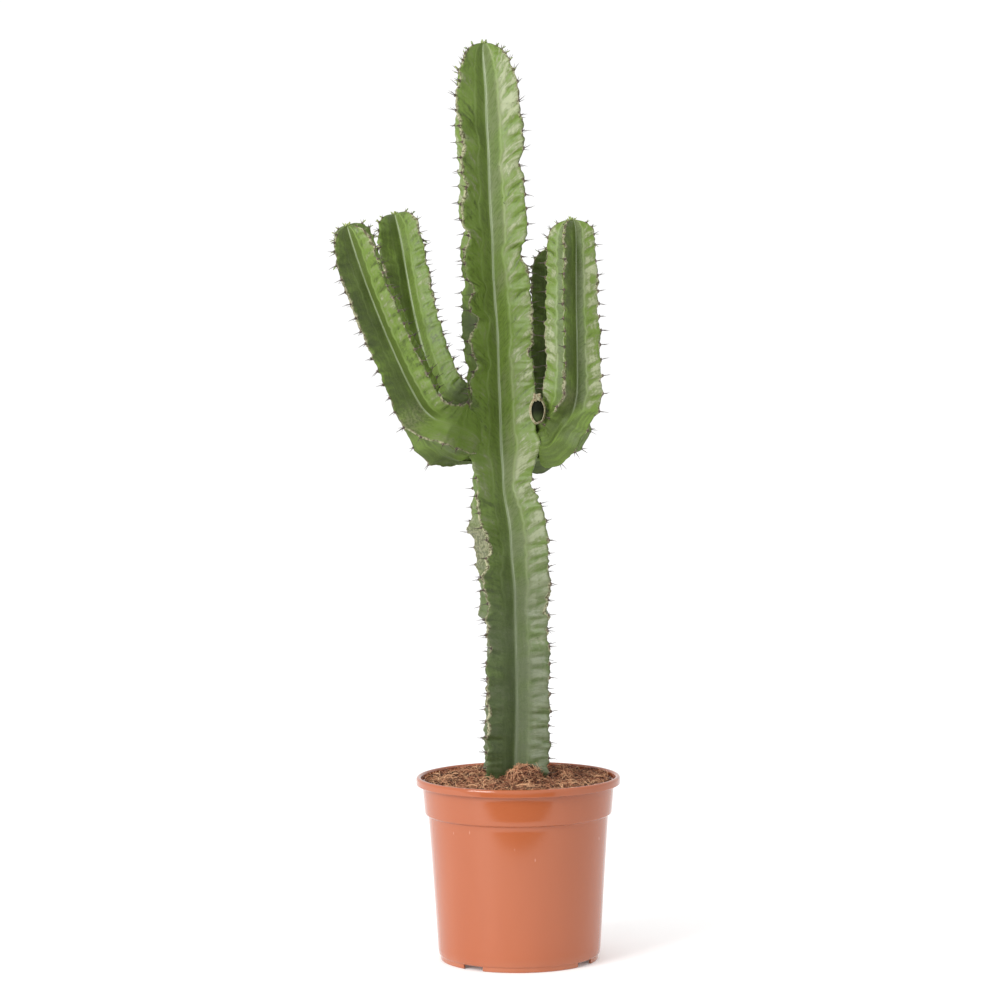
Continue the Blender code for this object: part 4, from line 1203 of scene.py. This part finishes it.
def add_trim(name, slot, shoot, areoles, plant, seed, least_share, horn, green):
    """The spines and the tip leaves of one shoot."""
    rng = np.random.default_rng(seed)
    spines = TubeBuilder()
    add_spines(spines, areoles, plant, rng, least_share)
    settle(spines.build(name + "_spines", horn), slot)
    leaves = TubeBuilder()
    add_leaves(leaves, areoles, shoot["path"][-1], plant, rng)
    settle(leaves.build(name + "_leaves", green), slot)


# ---------------------------------------------------------------- coir

def surface_height(x, y):
    """The soil's surface: a low mound with lumps, smooth and lowest along the pot's wall."""
    share = math.hypot(x, y) / SOIL_EDGE
    lumps = noise.noise(Vector((x, y, SOIL_LEVEL)) / 0.020) * (1.0 - min(1.0, share) ** 6)
    fine = (noise.noise(Vector((x, y, 1.7)) / 0.0060) * 0.5
            + noise.noise(Vector((x, y, 3.1)) / 0.0028) * 0.3)
    return SOIL_LEVEL - 0.0045 * share ** 3 + 0.0022 * lumps + 0.0014 * fine


def add_strands(builder, coir, rng):
    for _ in range(coir.strands):
        radius = SOIL_EDGE * math.sqrt(rng.uniform(0.0, 0.98))
        turn = rng.uniform(0.0, math.tau)
        x, y = radius * math.cos(turn), radius * math.sin(turn)
        heading = rng.uniform(0.0, math.tau)
        length = rng.uniform(0.008, 0.030)
        curve = rng.normal(0.0, 70.0) if rng.random() < 0.7 else rng.normal(0.0, 190.0)
        lift = min(abs(rng.normal(0.0, 0.0015)), 0.0028) + 0.0003
        steps = len(STRAND_TAPER)
        points = []
        for k in range(steps):
            share = k / (steps - 1)
            inside = min(1.0, (SOIL_EDGE - 0.0004) / max(math.hypot(x, y), 1e-6))
            x, y = x * inside, y * inside
            arch = math.sin(math.pi * share) * lift * 2.2
            points.append((x, y, surface_height(x, y) + 0.0001 + arch))
            x += math.cos(heading) * length / steps
            y += math.sin(heading) * length / steps
            heading += curve * length / steps
        thick = coir.strand_radius * rng.uniform(0.55, 1.35)
        builder.tube(points, [thick * w for w in STRAND_TAPER], 3, float(rng.beta(0.95, 0.85)))


def add_hairs(builder, coir, rng):
    """Loose hairs that stand up round the foot of the stem."""
    for _ in range(LOOSE_HAIRS):
        turn = rng.uniform(0.0, math.tau)
        radius = rng.uniform(0.046, 0.085)
        x, y = radius * math.cos(turn), radius * math.sin(turn)
        lean = rng.uniform(0.0, math.tau)
        height = rng.uniform(0.006, 0.013)
        spread = rng.uniform(0.2, 0.9) * height
        points = []
        for k in range(7):
            share = k / 6
            points.append((x + math.cos(lean) * spread * share ** 1.6,
                           y + math.sin(lean) * spread * share ** 1.6,
                           surface_height(x, y) + height * (share - 0.25 * share ** 3)))
        builder.tube(points, [coir.strand_radius * w for w in HAIR_TAPER], 3,
                     rng.uniform(0.3, 1.0))


def add_crumbs(builder, coir, rng):
    for _ in range(coir.crumbs):
        radius = SOIL_EDGE * math.sqrt(rng.uniform(0.0, 0.95))
        turn = rng.uniform(0.0, math.tau)
        x, y = radius * math.cos(turn), radius * math.sin(turn)
        size = rng.uniform(0.0007, 0.0021)
        spin = (Matrix.Rotation(rng.uniform(0.0, math.tau), 3, "Z")
                @ Matrix.Rotation(rng.uniform(0.0, 1.2), 3, "X"))
        axes = [np.array(spin.col[k]) for k in range(3)]
        offset = Vector((x * 900.0, y * 900.0, 0.0))
        builder.body((x, y, surface_height(x, y) + size * 0.25), axes,
                     (size, size * rng.uniform(0.5, 0.9), size * 0.6), 5, 7, rng.uniform(0.0, 0.45),
                     lambda local: 1.0 + 0.5 * noise.noise(Vector(local) * 1.6 + offset))


def coir_clump(name, node, coir, material, rng):
    """A ball of tangled fibre: a lumpy core wound with strands."""
    low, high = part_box(node)
    centre = np.array((low + high) / 2.0 - AXIS)
    half = np.array((high - low) / 2.0)
    builder = TubeBuilder()

    def lump(ray):
        return noise.noise(Vector(ray) * 2.4 + Vector(centre) * 300.0)

    builder.body(centre, np.eye(3), tuple(half * 0.86), 18, 28, 0.10,
                 lambda local: 1.0 + 0.30 * lump(local))
    for _ in range(coir.clump_strands):
        pole = unit(rng.normal(size=3))
        first = unit(np.cross(pole, rng.normal(size=3)))
        second = np.cross(pole, first)
        sweep = rng.uniform(0.6, 2.6)
        lift = rng.uniform(0.86, 1.05)
        bend = rng.uniform(-0.45, 0.45)
        points = []
        for k in range(8):
            angle = sweep * (k / 7 - 0.5)
            ray = unit(first * math.cos(angle) + second * math.sin(angle)
                       + pole * bend * math.cos(angle * 2.0))
            bump = 1.0 + 0.16 * lump(ray)
            flick = 0.26 * max(0.0, abs(k / 7 - 0.5) - 0.36) * 7.0 * rng.uniform(0.0, 1.0)
            points.append(centre + ray * half * lift * (bump + flick))
        thick = coir.strand_radius * rng.uniform(0.6, 1.3)
        builder.tube(points, [thick * w for w in CLUMP_TAPER], 3, float(rng.beta(1.1, 0.9)))
    settle(builder.build(name, material), "coir", node)


# ---------------------------------------------------------------- pot

def arc(centre, radius, start, end, steps):
    """Points (radius, height) on a round corner, by angle in degrees from the outward side."""
    angles = [math.radians(start + (end - start) * i / steps) for i in range(steps + 1)]
    return [(centre[0] + radius * math.cos(a), centre[1] + radius * math.sin(a)) for a in angles]


def rounded(profile, radius, steps=4):
    """Round a profile's corners, each as far as its shorter side allows."""
    out = [profile[0]]
    for before, corner, after in zip(profile, profile[1:], profile[2:]):
        b, c, a = Vector(before), Vector(corner), Vector(after)
        back, ahead = (b - c), (a - c)
        reach = min(radius, back.length * 0.45, ahead.length * 0.45)
        start, end = c + back.normalized() * reach, c + ahead.normalized() * reach
        for k in range(steps + 1):
            t = k / steps
            point = start * (1 - t) ** 2 + c * (2 * t * (1 - t)) + end * t * t
            out.append((point.x, point.y))
    out.append(profile[-1])
    return out


def stepped(profile, longest):
    """Split a profile's long straight runs, so that the shading follows them."""
    out = [profile[0]]
    for a, b in zip(profile, profile[1:]):
        steps = max(1, math.ceil(math.dist(a, b) / longest))
        out += [(a[0] + (b[0] - a[0]) * k / steps, a[1] + (b[1] - a[1]) * k / steps)
                for k in range(1, steps + 1)]
    return out


def pot_profile(pot):
    """The pot's section from the floor's middle up the inside, over the lip and down outside."""
    lip_bottom = POT_HEIGHT - pot.lip_height
    collar_top = RIM_RADIUS - 0.0065
    collar_low = collar_top - 0.0023
    collar_bottom = POT_HEIGHT - pot.collar_drop
    wall_top = collar_low - 0.0037

    def wall(height):
        return wall_top - WALL_TAPER * (collar_bottom - height) / (collar_bottom - FOOT_HEIGHT)

    inner = RIM_RADIUS - pot.lip_width
    foot = wall(FOOT_HEIGHT) - 0.0020
    profile = [(0.0, FLOOR_HEIGHT), (wall(FLOOR_HEIGHT) - 0.0045, FLOOR_HEIGHT),
               (wall(FLOOR_HEIGHT + 0.003) - pot.wall, FLOOR_HEIGHT + 0.003),
               (wall(collar_bottom - 0.0025) - pot.wall, collar_bottom),
               (collar_low - pot.wall, collar_bottom + 0.005),
               (collar_top - pot.wall, lip_bottom - 0.0006), (inner, lip_bottom + 0.0016)]
    profile = rounded(profile, 0.0010, 3)
    profile += arc((RIM_RADIUS - 0.0026, POT_HEIGHT - 0.0026), 0.0026, 180.0, 0.0, 14)
    outer = [(RIM_RADIUS, POT_HEIGHT - 0.0030), (RIM_RADIUS, lip_bottom + 0.0002),
             (RIM_RADIUS - 0.0012, lip_bottom - 0.0004), (collar_top + 0.0002, lip_bottom - 0.0004),
             (collar_low, collar_bottom + 0.0002), (collar_low - 0.0012, collar_bottom - 0.0008),
             (wall_top + 0.0001, collar_bottom - 0.0016),
             *((wall(height), height) for height in (0.100, 0.050, 0.0110)),
             (wall(FOOT_HEIGHT) - 0.0004, FOOT_HEIGHT + 0.0011),
             (foot + 0.0008, FOOT_HEIGHT), (foot, FOOT_HEIGHT - 0.0006), (foot, 0.0005),
             (foot - 0.0005, 0.0), (foot - 0.0024, 0.0), (foot - 0.0024, 0.0047), (0.0, 0.0047)]
    return stepped(profile + rounded(outer, 0.0009, 3), 0.005)


def cut_with(made, cutters):
    """Cut solids out of a piece and leave one plain mesh."""
    for cutter in cutters:
        step = made.modifiers.new("cut", "BOOLEAN")
        step.operation = "DIFFERENCE"
        step.solver = "EXACT"
        step.object = cutter
    bpy.context.view_layer.update()
    graph = bpy.context.evaluated_depsgraph_get()
    mesh = bpy.data.meshes.new_from_object(made.evaluated_get(graph))
    made.modifiers.clear()
    made.data = mesh
    for cutter in cutters:
        bpy.data.objects.remove(cutter, do_unlink=True)


def turned(name, profile, segments, material):
    """A closed solid of revolution whose profile starts and ends on the axis."""
    ring_points = profile[1:-1]
    points = [(0.0, 0.0, profile[0][1]), (0.0, 0.0, profile[-1][1])]
    for radius, height in ring_points:
        for k in range(segments):
            turn = math.tau * k / segments
            points.append((radius * math.cos(turn), radius * math.sin(turn), height))
    faces = []
    last = len(ring_points) - 1
    for k in range(segments):
        j = (k + 1) % segments
        faces.append((0, 2 + k, 2 + j))
        faces.append((1, 2 + last * segments + j, 2 + last * segments + k))
        for i in range(last):
            a, b = 2 + i * segments, 2 + (i + 1) * segments
            faces.append((a + k, b + k, b + j, a + j))
    return new_mesh_object(name, points, faces, material)


# ---------------------------------------------------------------- operators

class EUPHORBIA_OT_main_stem(bpy.types.Operator):
    """Grow the main stem with its spines and tip leaves"""
    bl_idname = "euphorbia.main_stem"
    bl_label = "Main Stem"

    def execute(self, context):
        plant = context.scene.euphorbia_plant
        shoot = stem_shoot(plant)
        stem, areoles = grow("main_stem_skin", shoot, plant,
                             skin_material("stem_skin", plant, True), STEM_WAVES)
        settle(stem, "stem_skin", "main_stem")
        above = (STEM_BURIED + 0.004) / shoot["length"]
        add_trim("main_stem", "stem_skin", shoot, areoles, plant, STEM_TRIM_SEED, above,
                 spine_material(plant), leaf_material())
        return {"FINISHED"}


class EUPHORBIA_OT_arms(bpy.types.Operator):
    """Grow the four arms with their spines and tip leaves"""
    bl_idname = "euphorbia.arms"
    bl_label = "Arms"

    def execute(self, context):
        plant = context.scene.euphorbia_plant
        material = skin_material("arm_skin", plant, False)
        horn = spine_material(plant)
        green = leaf_material()
        for index, (name, spec) in enumerate(ARMS.items()):
            shoot = arm_shoot(spec, plant, index)
            arm, areoles = grow(name + "_skin", shoot, plant, material, ARM_WAVES)
            settle(arm, "arm_skin", name)
            add_trim(name, "arm_skin", shoot, areoles, plant, ARM_TRIM_SEED + index,
                     ARM_BARE_SHARE, horn, green)
        return {"FINISHED"}


class EUPHORBIA_OT_callus(bpy.types.Operator):
    """Grow the corky ring round a flat disc painted as the shaded cavity above the right arm's root
    """
    bl_idname = "euphorbia.callus"
    bl_label = "Callus"

    def execute(self, context):
        rng = np.random.default_rng(CALLUS_SEED)
        centre = np.array(CALLUS_PLACE)
        out = np.array(outward(CALLUS_AZIMUTH))
        side = np.array(outward(CALLUS_AZIMUTH + 90.0))
        up = np.array((0.0, 0.0, 1.0))
        axes = (side, up, out)
        builder = TubeBuilder()
        # A flat disc, painted as the shaded hollow
        builder.body(centre - out * 0.0021, axes, CALLUS_SHADE_DISC, 10, 28, 1.0)
        for layer in range(CALLUS_LAYERS):
            wide, tall = (size + 0.0007 * layer for size in CALLUS_RING)
            path = []
            for turn in (math.tau * k / 40 for k in range(41)):
                ray = Vector((math.cos(turn) * 2.0, math.sin(turn) * 2.0, layer * 5.0))
                rough = 1.0 + 0.07 * noise.noise(ray)
                path.append(centre + side * (wide * rough * math.cos(turn))
                            + up * (tall * rough * math.sin(turn)) - out * (0.0006 * layer))
            builder.tube(path, [CALLUS_CORD_RADIUS] * len(path), 7, 0.0)
        for _ in range(CALLUS_CRUMBS):
            spot = centre + up * rng.uniform(0.0105, 0.0165) + side * rng.uniform(-0.0045, 0.0035)
            builder.body(spot, axes, tuple(rng.uniform(0.0007, 0.0018, 3)), 4, 7,
                         rng.uniform(0.0, 0.25))
        settle(builder.build("arm_front_right_callus", callus_material()), "arm_skin")
        return {"FINISHED"}


class EUPHORBIA_OT_pot(bpy.types.Operator):
    """Mould the pot with its notched foot and drain holes"""
    bl_idname = "euphorbia.pot"
    bl_label = "Pot"

    def execute(self, context):
        pot = context.scene.euphorbia_pot
        made = turned("pot_shell", pot_profile(pot), pot.segments, pot_material(pot))
        cutters = []
        for azimuth in NOTCH_AZIMUTHS:
            bpy.ops.mesh.primitive_cube_add(size=1.0)
            notch = context.active_object
            notch.data.transform(Matrix.Diagonal((*NOTCH_SIZE, 1.0)))
            notch.location = outward(azimuth) * NOTCH_RADIUS
            notch.rotation_euler = (0.0, 0.0, math.radians(azimuth))
            cutters.append(notch)
        for azimuth in DRAIN_AZIMUTHS:
            bpy.ops.mesh.primitive_cylinder_add(vertices=32, radius=DRAIN_RADIUS, depth=DRAIN_DEPTH)
            drain = context.active_object
            drain.location = outward(azimuth) * DRAIN_PLACE[0] + Vector((0.0, 0.0, DRAIN_PLACE[1]))
            cutters.append(drain)
        cut_with(made, cutters)
        made.data.shade_smooth()
        made.data.set_sharp_from_angle(angle=math.radians(50.0))
        settle(made, "pot_plastic", "pot")
        return {"FINISHED"}


class EUPHORBIA_OT_soil(bpy.types.Operator):
    """Fill the pot with coir soil"""
    bl_idname = "euphorbia.soil"
    bl_label = "Soil"

    def execute(self, context):
        coir = context.scene.euphorbia_coir
        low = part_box("soil")[0].z
        profile = [(0.0, low), *((radius, low + height) for radius, height in SOIL_FOOT),
                   *SOIL_STEP, (SOIL_EDGE, POT_HEIGHT - SOIL_TOP_DEPTH)]
        profile += [(SOIL_EDGE * (1.0 - i / SOIL_RINGS), SOIL_LEVEL) for i in range(SOIL_RINGS + 1)]
        made = turned("soil_ball", profile[::-1], SOIL_SEGMENTS, soil_material(coir))
        for vertex in made.data.vertices:
            if vertex.co.z > SOIL_LEVEL - 0.0001:
                vertex.co.z = surface_height(vertex.co.x, vertex.co.y)
        settle(made, "soil", "soil")
        return {"FINISHED"}


class EUPHORBIA_OT_coir(bpy.types.Operator):
    """Scatter coir strands and crumbs, and lay the clumps and the husk chip"""
    bl_idname = "euphorbia.coir"
    bl_label = "Loose Coir"

    def execute(self, context):
        coir = context.scene.euphorbia_coir
        fibre = strand_material(coir)
        rng = np.random.default_rng(COIR_SEED)
        builder = TubeBuilder()
        add_strands(builder, coir, rng)
        add_hairs(builder, coir, rng)
        settle(builder.build("coir_strands", fibre), "soil")
        builder = TubeBuilder()
        add_crumbs(builder, coir, rng)
        settle(builder.build("coir_crumbs", fibre), "soil")
        for node in ("coir_clump_front", "coir_clump_right"):
            coir_clump(node + "_fibre", node, coir, fibre, rng)

        low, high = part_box("coir_chip")
        centre = np.array((low + high) / 2.0 - AXIS)
        half = np.array((high - low) / 2.0)
        chip = TubeBuilder()
        chip.body(centre, np.eye(3), tuple(half), 16, 36, 0.5,
                  lambda local: 1.0 + 0.10 * noise.noise(Vector(local) * 2.0)
                  - 0.10 * max(0.0, 1.0 - abs(local[1]) * 5.0) * (local[2] > 0))
        settle(chip.build("coir_chip_husk", chip_material()), "coir_chip", "coir_chip")
        return {"FINISHED"}


class EUPHORBIA_OT_stage(bpy.types.Operator):
    """Set up the pale floor, the soft lights and the camera"""
    bl_idname = "euphorbia.stage"
    bl_label = "Stage"

    def execute(self, context):
        stage = context.scene.euphorbia_stage
        bpy.ops.mesh.primitive_plane_add(size=stage.floor_size)
        floor = context.active_object
        floor.name = "floor"
        floor.location = AXIS + Vector(
            (0.0, stage.floor_size / 2.0 - stage.floor_front, -FLOOR_DROP))
        floor.data.materials.append(floor_material())

        bpy.ops.mesh.primitive_plane_add(size=1.0)
        card = context.active_object
        card.name = "dark_card"
        card.data.transform(Matrix.Diagonal((stage.card_width, CARD_HEIGHT, 1.0, 1.0)))
        card.rotation_euler = (math.radians(90.0), 0.0, 0.0)
        card.location = AXIS + Vector(CARD_PLACE)
        card.visible_camera = False
        black = Shader("card_black", 0.9)
        card.data.materials.append(black.finish(Base_Color=CARD_BLACK))

        world = bpy.data.worlds.new("white_room")
        context.scene.world = world
        world.use_nodes = True
        background = world.node_tree.nodes["Background"]
        background.inputs["Color"].default_value = (1.0, 1.0, 1.0, 1.0)
        background.inputs["Strength"].default_value = stage.sky

        aim = AXIS + Vector(LIGHTS_AIM)
        for name, (place, width, height), power in (
                ("key", KEY_LIGHT, stage.key), ("fill", FILL_LIGHT, stage.fill)):
            data = bpy.data.lights.new(name, "AREA")
            data.shape = "RECTANGLE"
            data.size = width
            data.size_y = height
            data.energy = power
            light = bpy.data.objects.new(name, data)
            context.scene.collection.objects.link(light)
            light.location = AXIS + Vector(place)
            light.rotation_euler = (aim - light.location).to_track_quat("-Z", "Y").to_euler()

        data = bpy.data.cameras.new("camera")
        data.sensor_width = SENSOR_WIDTH
        data.lens = CAMERA_LENS
        camera = bpy.data.objects.new("camera", data)
        context.scene.collection.objects.link(camera)
        tilt = Matrix.Rotation(math.radians(90.0 - CAMERA_TILT), 4, "X")
        roll = Matrix.Rotation(math.radians(CAMERA_ROLL), 4, "Z")
        camera.matrix_world = Matrix.Translation(AXIS + Vector(CAMERA_PLACE)) @ tilt @ roll
        context.scene.camera = camera
        context.scene.view_settings.view_transform = "Standard"
        return {"FINISHED"}


class EUPHORBIA_PT_panel(bpy.types.Panel):
    """The steps that build the plant, in order"""
    bl_idname = "EUPHORBIA_PT_panel"
    bl_label = "Potted Euphorbia"
    bl_space_type = "VIEW_3D"
    bl_region_type = "UI"
    bl_category = "Euphorbia"

    def draw(self, context):
        for operator in OPERATORS:
            self.layout.operator(operator.bl_idname)
        for group in ("euphorbia_plant", "euphorbia_pot", "euphorbia_coir", "euphorbia_stage"):
            box = self.layout.box()
            settings = getattr(context.scene, group)
            for key in settings.__annotations__:
                box.prop(settings, key)


OPERATORS = (
    EUPHORBIA_OT_main_stem,
    EUPHORBIA_OT_arms,
    EUPHORBIA_OT_callus,
    EUPHORBIA_OT_pot,
    EUPHORBIA_OT_soil,
    EUPHORBIA_OT_coir,
    EUPHORBIA_OT_stage,
)
SETTINGS = {
    "euphorbia_plant": PlantSettings,
    "euphorbia_pot": PotSettings,
    "euphorbia_coir": CoirSettings,
    "euphorbia_stage": StageSettings,
}


def register():
    for cls in (*SETTINGS.values(), *OPERATORS, EUPHORBIA_PT_panel):
        bpy.utils.register_class(cls)
    for name, group in SETTINGS.items():
        setattr(bpy.types.Scene, name, PointerProperty(type=group))


def unregister():
    for name in SETTINGS:
        delattr(bpy.types.Scene, name)
    for cls in (EUPHORBIA_PT_panel, *reversed(OPERATORS), *reversed(list(SETTINGS.values()))):
        bpy.utils.unregister_class(cls)


def main():
    register()
    bpy.ops.euphorbia.main_stem()
    bpy.ops.euphorbia.arms()
    bpy.ops.euphorbia.callus()
    bpy.ops.euphorbia.pot()
    bpy.ops.euphorbia.soil()
    bpy.ops.euphorbia.coir()
    bpy.ops.euphorbia.stage()


if __name__ == "__main__":
    main()
